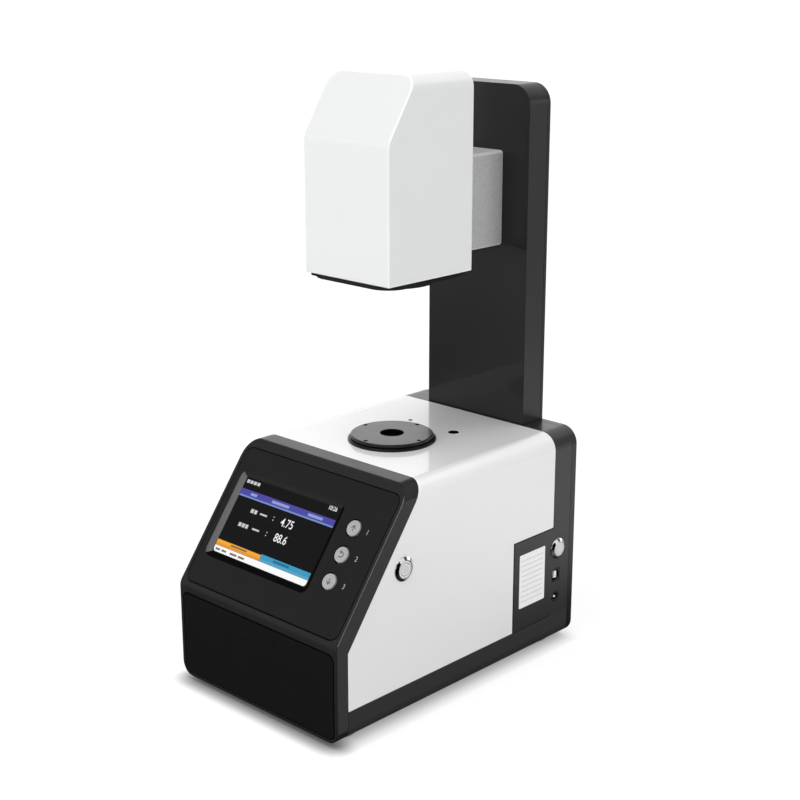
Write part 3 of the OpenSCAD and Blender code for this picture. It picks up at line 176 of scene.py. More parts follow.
def pick(piece, kind, test):
    """Opens the piece with the edges or faces chosen whose middle in mm and direction pass the test."""
    only(piece)
    bpy.ops.object.mode_set(mode="EDIT")
    bpy.context.tool_settings.mesh_select_mode = (False, kind == "edges", kind == "faces")
    bpy.ops.mesh.select_all(action="DESELECT")
    mesh = bmesh.from_edit_mesh(piece.data)
    for part in getattr(mesh, kind):
        if kind == "faces":
            middle, direction = part.calc_center_median(), part.normal
        else:
            ends = [corner.co for corner in part.verts]
            middle, direction = (ends[0] + ends[1]) / 2, (ends[1] - ends[0]).normalized()
        if test(middle * 1000, direction):
            part.select_set(True)
    bmesh.update_edit_mesh(piece.data)


def round_edges(piece, test, reach, steps=6):
    """Rounds the edges that pass the test; the rounding runs reach mm from each edge."""
    pick(piece, "edges", test)
    bpy.ops.mesh.bevel(offset=reach / 1000, segments=steps, profile=0.5, affect="EDGES",
                       clamp_overlap=False)
    bpy.ops.object.mode_set(mode="OBJECT")


def slice_off(piece, point, direction, keep=False):
    """Takes off what lies beyond a plane through a point in mm, or keeps it and only parts the faces."""
    pick(piece, "faces", lambda middle, way: True)
    bpy.ops.mesh.bisect(plane_co=Vector(point) / 1000, plane_no=direction, use_fill=not keep,
                        clear_outer=not keep)
    bpy.ops.object.mode_set(mode="OBJECT")


def cut_away(piece, *cutters, operation="DIFFERENCE"):
    """Cuts the cutters out of the piece, or makes them one with it, and removes them."""
    for cutter in cutters:
        modifier = piece.modifiers.new("cut", "BOOLEAN")
        modifier.operation = operation
        modifier.solver = "EXACT"
        modifier.object = cutter
        only(piece)
        bpy.ops.object.modifier_apply(modifier=modifier.name)
        bpy.data.objects.remove(cutter, do_unlink=True)


def shade(piece, angle=35):
    """Shades the piece smooth, apart from edges sharper than the angle in degrees."""
    only(piece)
    bpy.ops.object.shade_smooth_by_angle(angle=math.radians(angle))


def add_places(piece):
    """Gives the piece places for five finishes."""
    while len(piece.data.materials) < 5:
        piece.data.materials.append(None)


def soften(piece, width, steps=3):
    """Rounds all sharp edges a little, as the second finish of the piece, and shades the rest smooth."""
    pick(piece, "faces", lambda middle, way: True)
    bpy.ops.mesh.normals_make_consistent(inside=False)
    bpy.ops.object.mode_set(mode="OBJECT")
    add_places(piece)
    bevel = piece.modifiers.new("soft edges", "BEVEL")
    bevel.width = width / 1000
    bevel.segments = steps
    bevel.limit_method = "ANGLE"
    bevel.angle_limit = math.radians(30)
    bevel.use_clamp_overlap = False
    bevel.material = 1
    bpy.ops.object.modifier_apply(modifier=bevel.name)
    shade(piece)
    weights = piece.modifiers.new("even shading", "WEIGHTED_NORMAL")
    weights.keep_sharp = True
    weights.weight = 100
    bpy.ops.object.modifier_apply(modifier=weights.name)


def paint(piece, index, test):
    """Gives the faces that pass the test one of the five finishes of the piece, counted from 0."""
    add_places(piece)
    pick(piece, "faces", test)
    piece.active_material_index = index
    bpy.ops.object.material_slot_assign()
    bpy.ops.object.mode_set(mode="OBJECT")


def settle(piece, material, nodes=(), body="stand", edge=None, third=None, fourth=None, fifth=None):
    """Gives the piece its finishes, its body and the nodes that it stands for."""
    finishes = [given or material for given in (material, edge, third, fourth, fifth)]
    if not piece.data.materials:
        piece.data.materials.append(material)
    for index in range(len(piece.data.materials)):
        piece.data.materials[index] = finishes[index]
    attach(piece, body)
    if nodes:
        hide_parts(*nodes)


half_w, base_low, base_top = 100, 4, 209
top_r, bottom_r = 16, 13.5


def outline_block(name, y0, y1, inset=0):
    """A block with the front outline of the base, taken in by inset."""
    block = start_block(name, (inset - half_w, y0, base_low + inset), (half_w - inset, y1, base_top - inset))
    middle_z = (base_top + base_low) / 2
    round_edges(block, lambda m, way: abs(way.y) > 0.9 and m.z > middle_z, top_r - inset, 12)
    round_edges(block, lambda m, way: abs(way.y) > 0.9 and m.z < middle_z and abs(m.x) > half_w - 10,
                bottom_r - inset, 10)
    return block


def side_hole(name, radius, y, z):
    """A cutter for a round hole in the right wall."""
    return rod(name, radius, "x", (half_w - 10, y, z), (half_w + 10, y, z))


def side_window(name, inner_x, outer_x, y, z, width, height):
    """A block in the right wall about a place, from one X to another."""
    return start_block(name, (inner_x, y - width / 2, z - height / 2),
                       (outer_x, y + width / 2, z + height / 2))


chassis_black = satin("satin black plastic", 26, 0.38, coat=0.38)
# Lighter copies of the same satin black, one for the bottom strip and one for the cheek: painted light on the
# right side.
strip_painted_lighter = satin("satin black bottom strip", 54, 0.42, coat=0.2)
cheek_painted_lighter = satin("satin black painted lighter on the right of the cheek", 48, 0.4, coat=0.3)

chassis_wall = 3
seam_y, seam_z = -142.2, 83.8
cover_back, frame_back = 123.8, 147.7
strip_top = 31.5
cheek_front, cheek_top = 67.7, 118.3
power_y, power_z = 130.4, 97
socket_y, data_z, jack_z = 128.8, 70.9, 49
groove_front, groove_back = 69.5, 122.3
groove_half, groove_depth = 0.45, 1.2
outside = half_w + 10

chassis = outline_block("chassis", seam_y, frame_back)
around_cheek = start_block("around cheek", (-outside, -160, strip_top), (outside, cover_back, 215))
cut_away(around_cheek,
         start_block("cheek room", (half_w - chassis_wall, cheek_front, 20), (120, 130, cheek_top)))
cut_away(chassis, outline_block("chassis inside", seam_y + chassis_wall, 160, chassis_wall), around_cheek,
         start_block("cable opening", (-50, 128.5, 200), (50, 160, 220)),
         side_hole("power hole", 8.1, power_y, power_z),
         side_window("data hole", half_w - 10, outside, socket_y, data_z, 10.8, 12.2),
         side_hole("jack hole", 5.2, socket_y, jack_z),
         start_block("cheek groove", (half_w - groove_depth, groove_front, strip_top - groove_half),
                     (outside, groove_back, strip_top + groove_half)))
slice_off(chassis, (0, 0, strip_top), (0, 0, 1), keep=True)
soften(chassis, 0.3)
# The right faces of the cheek and of the bottom strip are painted lighter than the rest of the moulding:
# painted light.
paint(chassis, 2, lambda m, way: m.z > strip_top + 0.1 and way.x > 0.97 and m.x > 99)
paint(chassis, 3, lambda m, way: m.z < strip_top + 0.1 and way.x > 0.3 and m.x > 95)
settle(chassis, chassis_black, ("base_frame",), third=cheek_painted_lighter, fourth=strip_painted_lighter)

# White cover: one bent and painted sheet over the top and both sides, with
# the connector notch low on the right. Gloss enamel with a clear coat.


def enamel(name, colour, rough=0.3, mottle=0.02, depth=0.006):
    """Gloss enamel under a clear coat, with the slight waves of a sprayed sheet."""
    return finish(name, colour, rough, coat=1.0, mottle=mottle, blotch=18, spread=0.06, grain=420,
                  depth=depth)


def leaning(run, rise):
    """The direction that a face looks in when it leans back by run over rise."""
    lean = math.atan2(run, rise)
    return Vector((0, -math.cos(lean), math.sin(lean)))


# The cover's white is painted a little lighter than the head's, which is the same enamel: painted light.
cover_white_painted_lighter = enamel("gloss white enamel", display(246, 246, 247))
# The rounded edges of cover and head are painted a brighter white: a painted highlight.
white_edge_highlight = enamel("enamel painted brighter on edges as a highlight", display(254, 254, 255), rough=0.25, mottle=0.01, depth=0.004)
# Matt black: the own colour of sockets and screws, and painted shade where it is put in holes, recesses and
# gaps.
black_and_painted_shade = finish("matt black, also painted shade in holes and gaps", display(6, 6, 6), 0.9, mottle=0.1, grain=700, depth=0.01,
                    shine=0.05)

cover_wall = 2.5
seam_way = leaning(91.5, base_top - seam_z)
port_y = 12.7
small_x, small_y = 27, 65.7
test_y, test_z = -77, 138.7

cover = outline_block("white_cover", seam_y, cover_back)
slice_off(cover, (0, 0, strip_top), (0, 0, -1))
slice_off(cover, (0, seam_y, seam_z), seam_way)
cut_away(cover, outline_block("cover inside", -160, 140, cover_wall),
         start_block("notch", (half_w - 10, cheek_front - 0.7, 20), (outside, 140, cheek_top + 0.7)),
         rod("hub hole", 24.3, "z", (0, port_y, 200), (0, port_y, 220), 96),
         rod("compensation hole", 4.7, "z", (small_x, small_y, 200), (small_x, small_y, 220)),
         rod("pin hole", 1.4, "z", (-small_x, small_y, 200), (-small_x, small_y, 220), 24),
         side_hole("test button hole", 9.6, test_y, test_z))
soften(cover, 0.7)
# The walls of the two small holes and the inner part of their rims are painted black: painted shade in the
# holes.
for side_x, reach in ((small_x, 5.2), (-small_x, 2.1)):
    paint(cover, 2, lambda m, way: math.hypot(m.x - side_x, m.y - small_y) < reach and m.z > 200
          and abs(way.z) < 0.99)
settle(cover, cover_white_painted_lighter, ("base_shell",), edge=white_edge_highlight, third=black_and_painted_shade)

# Front bezel: a thick black moulding that wraps the front, with pockets for
# the control panel on the leaning face and for the gloss plate below it.

bezel_black = satin("satin black bezel", 34, 0.5, shine=0.27)
bezel_side_painted_light = satin("satin black bezel painted lighter on its sides", 58, 0.5, shine=0.27)
bezel_top_painted_light = satin("satin black bezel painted lighter on its top", 42, 0.4, coat=0.2, depth=0.02)
# Near black for rounded edges and for the lip of the power ring: painted shade.
edge_painted_shade = finish("black edges painted darker as shade", display(14, 14, 14), 0.5, grain=1200, depth=0.02, shine=0.3)
edge_painted_highlight = finish("black plastic painted light as a highlight on sharp edges", display(112, 112, 114), 0.35, grain=1200, depth=0.02)

front_y, kink_z, slope_run = -155, 93, 86.6
bezel_wall, kink_r, brow_r = 6, 10, 2.5
panel_s, lower_s = 69.5, 46.5
screen_x, screen_s = -21.6, 73
key_x, key_s = 62.2, (96.3, 72.1, 47.9)

lean = math.atan2(slope_run, base_top - kink_z)
slope_way = leaning(slope_run, base_top - kink_z)
kink = Vector((0, front_y, kink_z))
on_slope = Matrix.Translation(kink / 1000) @ Matrix.Rotation(math.pi / 2 - lean, 4, "X")
on_front = Matrix.Translation((0, front_y / 1000, 0)) @ Matrix.Rotation(math.pi / 2, 4, "X")


def place(piece, where):
    """Moves a piece modelled flat to its place."""
    piece.matrix_world = where
    only(piece)
    bpy.ops.object.transform_apply(location=True, rotation=True, scale=True)
    return piece


def plate(name, width, height, low, high, corner, centre=(0, 0), steps=8):
    """A flat block with round corners about a centre, modelled in X and Y."""
    x, y = centre
    block = start_block(name, (x - width / 2, y - height / 2, low), (x + width / 2, y + height / 2, high))
    round_edges(block, lambda m, way: abs(way.z) > 0.9, corner, steps)
    return block


def on_side_edge(m, way):
    """Whether a face is on the rounding between the front of the bezel and one of its sides."""
    return abs(m.x) > 98 and 0.2 < abs(way.x) < 0.98 and way.y < -0.2


bezel = outline_block("bezel", front_y, -20)
slice_off(bezel, kink, slope_way)
round_edges(bezel, lambda m, way: abs(way.x) > 0.9 and abs(m.z - kink_z) < 1 and m.y < front_y + 5,
            kink_r * math.tan(lean / 2), 8)
round_edges(bezel, lambda m, way: abs(way.x) > 0.9 and abs(m.z - base_top) < 0.5 and m.y < -60,
            brow_r * math.tan((math.pi / 2 - lean) / 2), 4)
round_edges(bezel, lambda m, way: abs(way.x) > 0.9 and m.z < base_low + 1 and m.y < front_y + 0.1, 2, 4)
bezel_inside = outline_block("bezel inside", front_y + bezel_wall, 20, 3)
slice_off(bezel_inside, kink - bezel_wall * slope_way, slope_way)
behind_seam = start_block("behind seam", (-120, seam_y, -10), (120, 30, 220))
slice_off(behind_seam, (0, seam_y, seam_z), seam_way)
cut_away(bezel, behind_seam, bezel_inside,
         place(plate("panel pocket", 191.8, 131.4, -3, 10, 8.4, (0, panel_s)), on_slope),
         place(plate("front pocket", 191.8, 76.8, -2, 10, 6.4, (0, lower_s)), on_front),
         place(plate("window pocket", 126.2, 79.2, -20, 0, 0.5, (screen_x, screen_s)), on_slope),
         place(plate("key pocket", 18.3, 66.7, -20, 0, 9, (key_x, key_s[1])), on_slope))
# Its rounded edges are painted near black: painted shade.
soften(bezel, 0.7, 4)
paint(bezel, 0, on_side_edge)
# The rounding along each side edge above the kink is painted light grey: a painted highlight.
paint(bezel, 2, lambda m, way: on_side_edge(m, way) and m.z > kink_z + 1)
# The top and the side faces of the bezel take lighter copies of its satin black: painted light.
paint(bezel, 3, lambda m, way: m.z > base_top - 0.5 and way.z > 0.97)
paint(bezel, 4, lambda m, way: abs(m.x) > 99.5 and abs(way.x) > 0.98)
settle(bezel, bezel_black, ("front_bezel",), edge=edge_painted_shade, third=edge_painted_highlight,
       fourth=bezel_top_painted_light, fifth=bezel_side_painted_light)

# Control panel: a flush moulded plate with a bevelled screen opening and
# three round key holes, set in the bezel with a thin dark gap all round.

panel_black = satin("panel black plastic", 21, 0.45, shine=0.33)
opening_painted_light = finish("painted light on the left bevel of the screen opening", display(90, 90, 92), 0.45, grain=1500, depth=0.02)

panel_depth, bevel_in = 3, 5.6
opening_w, opening_h = 131.4, 83.6
opening_x, opening_s = screen_x - 0.6, screen_s - 0.8
key_hole_r = 7.8

panel = plate("control_panel_face", 191, 130.56, -panel_depth, 0, 8, (0, panel_s))
screen_cutter = plate("screen opening", opening_w, opening_h, 0, 4, 7, (opening_x, opening_s))
pick(screen_cutter, "faces", lambda m, way: way.z < -0.9)
bpy.ops.mesh.inset(thickness=bevel_in / 1000, depth=panel_depth / 1000)
bpy.ops.mesh.extrude_region_move(TRANSFORM_OT_translate={"value": (0, 0, -0.004), "orient_type": "GLOBAL"})
bpy.ops.object.mode_set(mode="OBJECT")
cut_away(panel, screen_cutter,
         *[rod("key hole", key_hole_r, "z", (key_x, s, -8), (key_x, s, 8), 64) for s in key_s])


def in_opening(m, way):
    """Whether a face is on the bevel round the screen."""
    across, up = abs(m.x - opening_x), abs(m.y - opening_s)
    return way.z > 0.3 and across < opening_w / 2 - 0.2 and up < opening_h / 2 - 0.2


# Its rounded edges are painted near black: painted shade.
soften(panel, 0.45)
# A black ring round each key hole: painted shade in the gap round the key.
paint(panel, 2, lambda m, way: abs(way.z) < 0.99
      and any(math.hypot(m.x - key_x, m.y - s) < key_hole_r + 0.6 for s in key_s))
# The lower and right bevels of the screen opening are painted black as painted shade, and the left one light
# grey as painted light.
paint(panel, 2, lambda m, way: in_opening(m, way) and (way.y > 0.3 or way.x < -0.3))
paint(panel, 3, lambda m, way: in_opening(m, way) and way.x > 0.3)
place(panel, on_slope)
settle(panel, panel_black, ("control_panel",), edge=edge_painted_shade, third=black_and_painted_shade,
       fourth=opening_painted_light)

# Gloss plate: a thin black decorative plate glued in the pocket of the
# upright front.

gloss_black = finish("gloss black plate", display(20, 20, 21), 0.3, coat=0.25, mottle=0.04, grain=900,
                     depth=0.008)

lower_plate = plate("lower_plate", 191, 76, -2, 0, 6, (0, lower_s))
soften(lower_plate, 0.5)
place(lower_plate, on_front)
# Its rounded edges are painted black: painted shade of the gap round the plate.
settle(lower_plate, gloss_black, ("front_plate",), edge=black_and_painted_shade)

# Screen: a clear window behind the opening. The picture on it is thin
# coloured bars and plain numbers that glow like a lit display.

screen_black = finish("screen glass", display(13, 13, 15), 0.12, coat=0.5, mottle=0.02, grain=300,
                      depth=0.001)

glass_level = -3
window = plate("screen_pane", 125.6, 78.6, -4.5, glass_level, 1.5, (screen_x, screen_s))
soften(window, 0.2)
place(window, on_slope)
settle(window, screen_black, ("screen_window",))


def join(piece, *others):
    """Joins the others to the piece."""
    only(piece)
    for other in others:
        other.select_set(True)
    bpy.ops.object.join()
    return piece


def glow(name, colour):
    """A lit part of the screen's picture, with the fine rows of its dots."""
    material = finish(name, display(8, 8, 8), 0.25, grain=800, depth=0.001)
    nodes, link = material.node_tree.nodes, material.node_tree.links.new
    shader = nodes["Principled BSDF"]
    uneven = nodes.new("ShaderNodeGroup")
    uneven.node_tree = surface_group
    uneven.inputs["Colour"].default_value = colour
    uneven.inputs["Mottle"].default_value = 0.1
    uneven.inputs["Blotch Scale"].default_value = 900
    link(uneven.outputs["Colour"], shader.inputs["Emission Color"])
    shader.inputs["Emission Strength"].default_value = 0.95
    return material


def bar(x0, x1, s0, s1, corner=0.0):
    """A thin bar on the screen, between two places along X and two up the slope."""
    block = start_block("bar", (x0, s0, glass_level), (x1, s1, glass_level + 0.06))
    if corner:
        round_edges(block, lambda m, way: abs(way.z) > 0.9 and m.y < (s0 + s1) / 2, corner, 5)
    return block


def dashes(s0, s1, *spans):
    """A row of short bars in place of words."""
    return join(*[start_block("dash", (x0, s0, glass_level + 0.04), (x1, s1, glass_level + 0.1))
                  for x0, x1 in spans])


def number(words, x, s, height, level):
    """Raised digits, as tall as height in mm, centred at a place and level on the slope."""
    bpy.ops.object.select_all(action="DESELECT")
    bpy.ops.object.text_add()
    text = bpy.context.object
    text.data.body = words
    text.data.align_x = "CENTER"
    text.data.align_y = "CENTER"
    text.data.extrude = 0.02
    text.data.offset = 0.004
    bpy.ops.object.convert(target="MESH")
    piece = bpy.context.object
    size = height / 1000 / piece.dimensions.y
    narrow = 0.86
    where = Matrix.Translation(Vector((x, s, level)) / 1000)
    return place(piece, where @ Matrix.Diagonal((size * narrow, size, 0.001, 1)))


def show(name, colour, *pieces):
    """Puts a part of the picture in its place on the screen."""
    piece = join(*pieces) if len(pieces) > 1 else pieces[0]
    piece.name = name
    place(piece, on_slope @ Matrix.Translation((-0.001, -0.0003, 0)))
    settle(piece, glow(name.replace("_", " "), colour))


for name, colour, x0, x1, s0, s1, corner in (
        ("violet_bar", display(78, 74, 165), -81.4, 38.2, 92.8, 98.2, 0),
        ("violet_bar_edge", display(118, 146, 205), -81.4, 38.2, 91.2, 92.7, 0),
        ("orange_bar", display(250, 172, 46), -81.3, -24.2, 44.8, 48.2, 0),
        ("orange_bar_edge", display(235, 150, 52), -81.3, -24.2, 42.8, 44.7, 0),
        ("cyan_bar", display(60, 156, 196), -24, 38.1, 45.4, 49.2, 0),
        ("cyan_bar_edge", display(84, 166, 204), -24, 38.1, 42.8, 45.3, 0),
        ("white_strip", display(255, 255, 255), -81.2, 38, 36.9, 42.6, 3)):
    show(name, colour, bar(x0, x1, s0, s1, corner))

colon_dots = [dashes(s, s + 1, (-30, -29)) for s in (79.6, 82.4, 65, 67.8)]
show("screen_marks", display(205, 205, 205),
     dashes(104, 107, (-79.5, -76), (-75, -71.5), (-70.5, -67), (-66, -62.5)),
     dashes(79.6, 83.2, (-59, -55.4), (-54.4, -51)),
     dashes(80.6, 82.2, (-47, -38)),
     dashes(65, 68.6, (-66, -62.4), (-61.4, -58), (-57, -53.6)),
     dashes(66, 67.6, (-48, -39)),
     *colon_dots)
picture_level = glass_level + 0.05
show("screen_numbers", display(250, 250, 250),
     number("4.75", -11.7, 81, 7.6, picture_level),
     number("88.6", -11.3, 66.6, 7.6, picture_level),
     number("10:26", 29.6, 107, 4, picture_level))
show("violet_bar_marks", display(150, 160, 215),
     dashes(94, 96.4, (-68, -60), (-40, -18), (6, 24)))
show("lower_marks", display(120, 110, 90),
     dashes(45.6, 47.2, (-63, -42)),
     dashes(38.6, 40.4, (-79, -73), (-71, -65), (-60, -51), (-49, -41)))
show("cyan_bar_marks", display(40, 110, 150), dashes(46, 48, (-8, 12)))

# Keys: three round moulded caps that press into the panel, each with a
# flange and a stem behind it, a dished face and a raised mark.

key_grey = finish("key grey plastic", display(168, 168, 170), 0.5, mottle=0.05, grain=1800, depth=0.02)
mark_grey = finish("key mark", display(84, 84, 86), 0.5, mottle=0.05, grain=1800, depth=0.01)


def turned(name, profile, sides=72):
    """A round piece about Z through (radius, height) in mm; a profile back at its start makes a ring."""
    bpy.ops.object.select_all(action="DESELECT")
    is_ring = profile[0] == profile[-1]
    (radius, height), *steps = profile
    bpy.ops.mesh.primitive_circle_add(vertices=sides, radius=radius / 1000, location=(0, 0, height / 1000),
                                      fill_type="NOTHING" if is_ring else "NGON")
    bpy.ops.object.transform_apply(location=True, rotation=True, scale=True)
    piece = bpy.context.object
    piece.name = name
    pick(piece, "edges" if is_ring else "faces", lambda middle, way: True)
    for next_radius, next_height in steps:
        rise = {"value": (0, 0, (next_height - height) / 1000), "orient_type": "GLOBAL"}
        widening = next_radius / radius
        bpy.ops.mesh.extrude_region_move(TRANSFORM_OT_translate=rise)
        bpy.ops.transform.resize(value=(widening, widening, 1), orient_type="GLOBAL")
        radius, height = next_radius, next_height
    bpy.ops.mesh.select_all(action="SELECT")
    bpy.ops.mesh.remove_doubles(threshold=0.000001)
    bpy.ops.mesh.normals_make_consistent(inside=False)
    bpy.ops.object.mode_set(mode="OBJECT")
    return piece


dish_level, mark_level, mark_half = 0.6, 0.74, 0.35


def stroke(x0, x1, y0, y1):
    """A straight stroke of a mark, raised from the dish of a key."""
    return start_block("stroke", (x0, y0, dish_level), (x1, y1, mark_level))


def arrow(turn):
    """Arrow of a stem and two arms, pointing up the slope before its turn."""
    stem = stroke(-mark_half, mark_half, -2.6, 2.4)
    arms = []
    for side in (-1, 1):
        at_tip = Matrix.Translation((0, 0.0024, 0)) @ Matrix.Rotation(side * math.radians(45), 4, "Z")
        arms.append(place(stroke(-mark_half, mark_half, -3.4, 0.3), at_tip))
    return place(join(stem, *arms), Matrix.Rotation(turn, 4, "Z"))


def return_mark():
    """Arrow bent back on itself."""
    outer_r, inner_r = 2.5, 1.8
    bend = turned("bend", [(outer_r, dish_level), (outer_r, mark_level), (inner_r, mark_level),
                           (inner_r, dish_level), (outer_r, dish_level)], 48)
    cut_away(bend, start_block("gap", (-5, -2, 0), (0, 5, 2)))
    lower = stroke(-2.4, 0.1, -outer_r, -inner_r)
    upper = stroke(-2.2, 0.1, inner_r, outer_r)
    arms = []
    for side in (-1, 1):
        arm_turn = Matrix.Rotation(math.radians(-90 + side * 42), 4, "Z")
        at_tip = Matrix.Translation((-0.0022, 0.00215, 0)) @ arm_turn
        arms.append(place(stroke(-mark_half, mark_half, -0.2, 1.9), at_tip))
    return join(bend, lower, upper, *arms)


key_profile = [(1.75, -8.1), (1.75, -4.2), (8.65, -4.2), (8.65, -3), (6.9, -3), (6.9, 0.45), (6.75, 0.75),
               (6.4, 0.9), (5.75, 0.9), (5.45, 0.72), (5, 0.62), (1, dish_level)]
for name, s in zip(("up", "return", "down"), key_s):
    on_key = on_slope @ Matrix.Translation((key_x / 1000, s / 1000, 0))
    key = turned(name + "_key", key_profile)
    shade(key)
    place(key, on_key)
    settle(key, key_grey, ("key_" + name,), "key_" + name)
    mark = return_mark() if name == "return" else arrow(math.pi if name == "down" else 0)
    place(mark, on_key)
    mark.name = name + "_key_mark"
    settle(mark, mark_grey, body="key_" + name)

legend_white = finish("legend print", display(170, 170, 172), 0.5, mottle=0.08, grain=900, depth=0.005)
legends = [number(words, x, s, 4.4, 0.005)
           for words, x, s in (("1", 78, 96.6), ("2", 79, 72.8), ("3", 79, 48))]
legend_print = place(join(*legends), on_slope)
legend_print.name = "key_numbers"
settle(legend_print, legend_white)

# Push buttons on the right: bright turned rings with threaded barrels, and
# sprung metal caps. The upper one starts a test, the lower one is the power.

chrome = finish("bright chrome", display(232, 233, 235), 0.08, metal=1.0, mottle=0.02, spread=0.08, grain=300,
                depth=0.002)
cap_metal = finish("satin metal cap", display(238, 238, 239), 0.42, metal=0.35, mottle=0.03, spread=0.1,
                   grain=1400, depth=0.01)
# Near white metal: the own colour of the power socket's pin, and a painted highlight on the test button's lip
# and rim.
bright_metal_and_highlight = finish("bright metal, also painted highlight on rims", display(254, 254, 255), 0.3, metal=0.15, mottle=0.02,
                      spread=0.05, grain=600, depth=0.003)
# Grey in the groove of the test button's cap: painted shade.
groove_painted_shade = finish("turned line", display(110, 110, 112), 0.5, metal=0.3, mottle=0.05, grain=600, depth=0.005)


def on_side(y, z, x=half_w):
    """Matrix that stands a piece modelled about Z on the right wall."""
    return Matrix(((0, 0, 1, x / 1000), (1, 0, 0, y / 1000), (0, 1, 0, z / 1000), (0, 0, 0, 1)))


def button_ring(name, ring_r, barrel_r, bore_r, length, depth, where):
    """Ring and barrel of a push button, with two terminals behind it."""
    pitch, thread_depth, smooth_length, rim = 0.5, 0.25, 6, 2.3
    thread = [(barrel_r - (thread_depth if step % 2 else 0), -smooth_length - step * pitch)
              for step in range(int((length - smooth_length) / pitch))]
    profile = [(bore_r + 0.9, -length)] + thread[::-1] + [
        (barrel_r, 0), (ring_r, 0), (ring_r, 0.4), (ring_r - 0.15, 0.7), (ring_r - 0.5, 0.9),
        (bore_r + 1.15, 2.1), (bore_r + 0.95, 2.25), (bore_r + 0.75, rim), (bore_r + 0.3, rim),
        (bore_r + 0.1, 2.2), (bore_r, 2), (bore_r, -depth)]
    ring = turned(name, profile, 96)
    paint(ring, 1, lambda m, way: bore_r + 0.25 < math.hypot(m.x, m.y) < bore_r + 1.2 and m.z > 2)
    paint(ring, 2, lambda m, way: math.hypot(m.x, m.y) < bore_r + 0.25 and m.z > 1)
    terminals = [start_block("terminal", (x - 0.4, -1.4, -length - 6), (x + 0.4, 1.4, -length + 0.01))
                 for x in (-barrel_r / 2, barrel_r / 2)]
    join(ring, *terminals)
    shade(ring, 40)
    return place(ring, where)


def button_cap(name, radius, length, proud, where):
    """Cap of a push button with a rounded rim and a fine turned line."""
    cap = turned(name, [
        (radius, proud - length), (radius, proud - 0.5), (radius - 0.15, proud - 0.15),
        (radius - 0.5, proud), (radius - 1.4, proud), (radius - 1.6, proud - 0.25),
        (radius - 1.8, proud - 0.25), (radius - 2, proud), (radius - 3.2, proud - 0.02),
        (1, proud - 0.02)], 96)
    paint(cap, 1, lambda m, way: math.hypot(m.x, m.y) > radius - 3.1 and m.z > proud - 0.4)
    paint(cap, 2, lambda m, way: radius - 1.95 < math.hypot(m.x, m.y) < radius - 1.45)
    shade(cap, 40)
    return place(cap, where)


test_place = on_side(test_y, test_z)
test_ring = button_ring("test_button_ring", 11, 9.4, 7.35, 24, 16, test_place)
# The lip of the test ring is painted near white as a painted highlight, and its bore black as painted shade.
settle(test_ring, chrome, ("test_button_body",), edge=bright_metal_and_highlight, third=black_and_painted_shade)
test_cap = button_cap("test_button_face", 7.3, 12, 2.1, test_place)
# The rim of the test cap is painted near white as a painted highlight, and its groove grey as painted shade.
settle(test_cap, cap_metal, ("test_button_cap",), "test_button_cap", edge=bright_metal_and_highlight,
       third=groove_painted_shade)
power_place = on_side(power_y, power_z)
power_ring = button_ring("power_button_ring", 10, 7.9, 6.35, 20, 16, power_place)
# The lip of the power ring is painted near black and its bore black: painted shade.
settle(power_ring, chrome, ("power_button_body",), edge=edge_painted_shade, third=black_and_painted_shade)
power_cap = button_cap("power_button_face", 6.3, 11, 2.8, power_place)
settle(power_cap, cap_metal, ("power_button_cap",), "power_button_cap")

# Sockets and label on the cheek: a square data socket with a white tongue,
# a round power socket with a steel pin, and a bare white label.

tongue_white = finish("socket tongue", display(252, 252, 250), 0.45, mottle=0.04, grain=900, depth=0.01)
label_white = finish("label paper", display(254, 254, 254), 0.55, coat=0.5, mottle=0.03, blotch=60, grain=700,
                     depth=0.01)
rule_grey = finish("label rules", display(176, 176, 178), 0.6, mottle=0.1, blotch=400, grain=700, depth=0.01)

data_socket = side_window("data_socket", 84, 99.7, socket_y, data_z, 10.2, 11.6)
mouth = side_window("socket mouth", 88, outside, socket_y, data_z, 8.6, 10)
round_edges(mouth, lambda m, way: abs(way.x) > 0.9 and m.y > 130, 2.4, 1)
cut_away(data_socket, mouth)
soften(data_socket, 0.25)
paint(data_socket, 1, lambda m, way: way.x > 0.5 and m.x > 99)
settle(data_socket, black_and_painted_shade, ("usb_socket",), edge=chassis_black)
data_tongue = side_window("data_socket_tongue", 88, 99, socket_y + 0.6, data_z + 0.1, 3.4, 6.8)
soften(data_tongue, 0.3)
settle(data_tongue, tongue_white)

jack_place = on_side(socket_y, jack_z, 84)
jack = turned("power_socket", [(4.9, 11), (4.9, 15.4), (4.6, 15.8), (3.6, 15.8), (3.2, 15.4), (3.2, 3)], 64)
join(jack, start_block("jack body", (-5.5, -5.5, 0), (5.5, 5.5, 12)))
soften(jack, 0.15)
paint(jack, 1, lambda m, way: math.hypot(m.x, m.y) > 3.3)
paint(jack, 0, lambda m, way: math.hypot(m.x, m.y) < 3.3 or m.z < 13)
place(jack, jack_place)
settle(jack, black_and_painted_shade, ("power_jack",), edge=chassis_black)
jack_pin = turned("power_socket_pin", [(1.25, 3), (1.25, 15.1), (0.9, 15.5), (0.2, 15.5)], 32)
shade(jack_pin, 40)
place(jack_pin, jack_place)
settle(jack_pin, bright_metal_and_highlight)

label_place = on_side(93.6, 78.9)
label = plate("cheek_label", 36.4, 52, 0, 0.2, 1.2)
place(label, label_place)
settle(label, label_white, ("rating_label",))
rules = join(*[start_block("rule", (-15.5, y - 0.2, 0.15), (15.5, y + 0.2, 0.23)) for y in range(-20, 21, 5)])
place(rules, label_place)
rules.name = "cheek_label_rules"
settle(rules, rule_grey)

# Sample port: a turned black ring on the top face and a grey plate screwed
# to it, on which samples are laid over the middle opening.

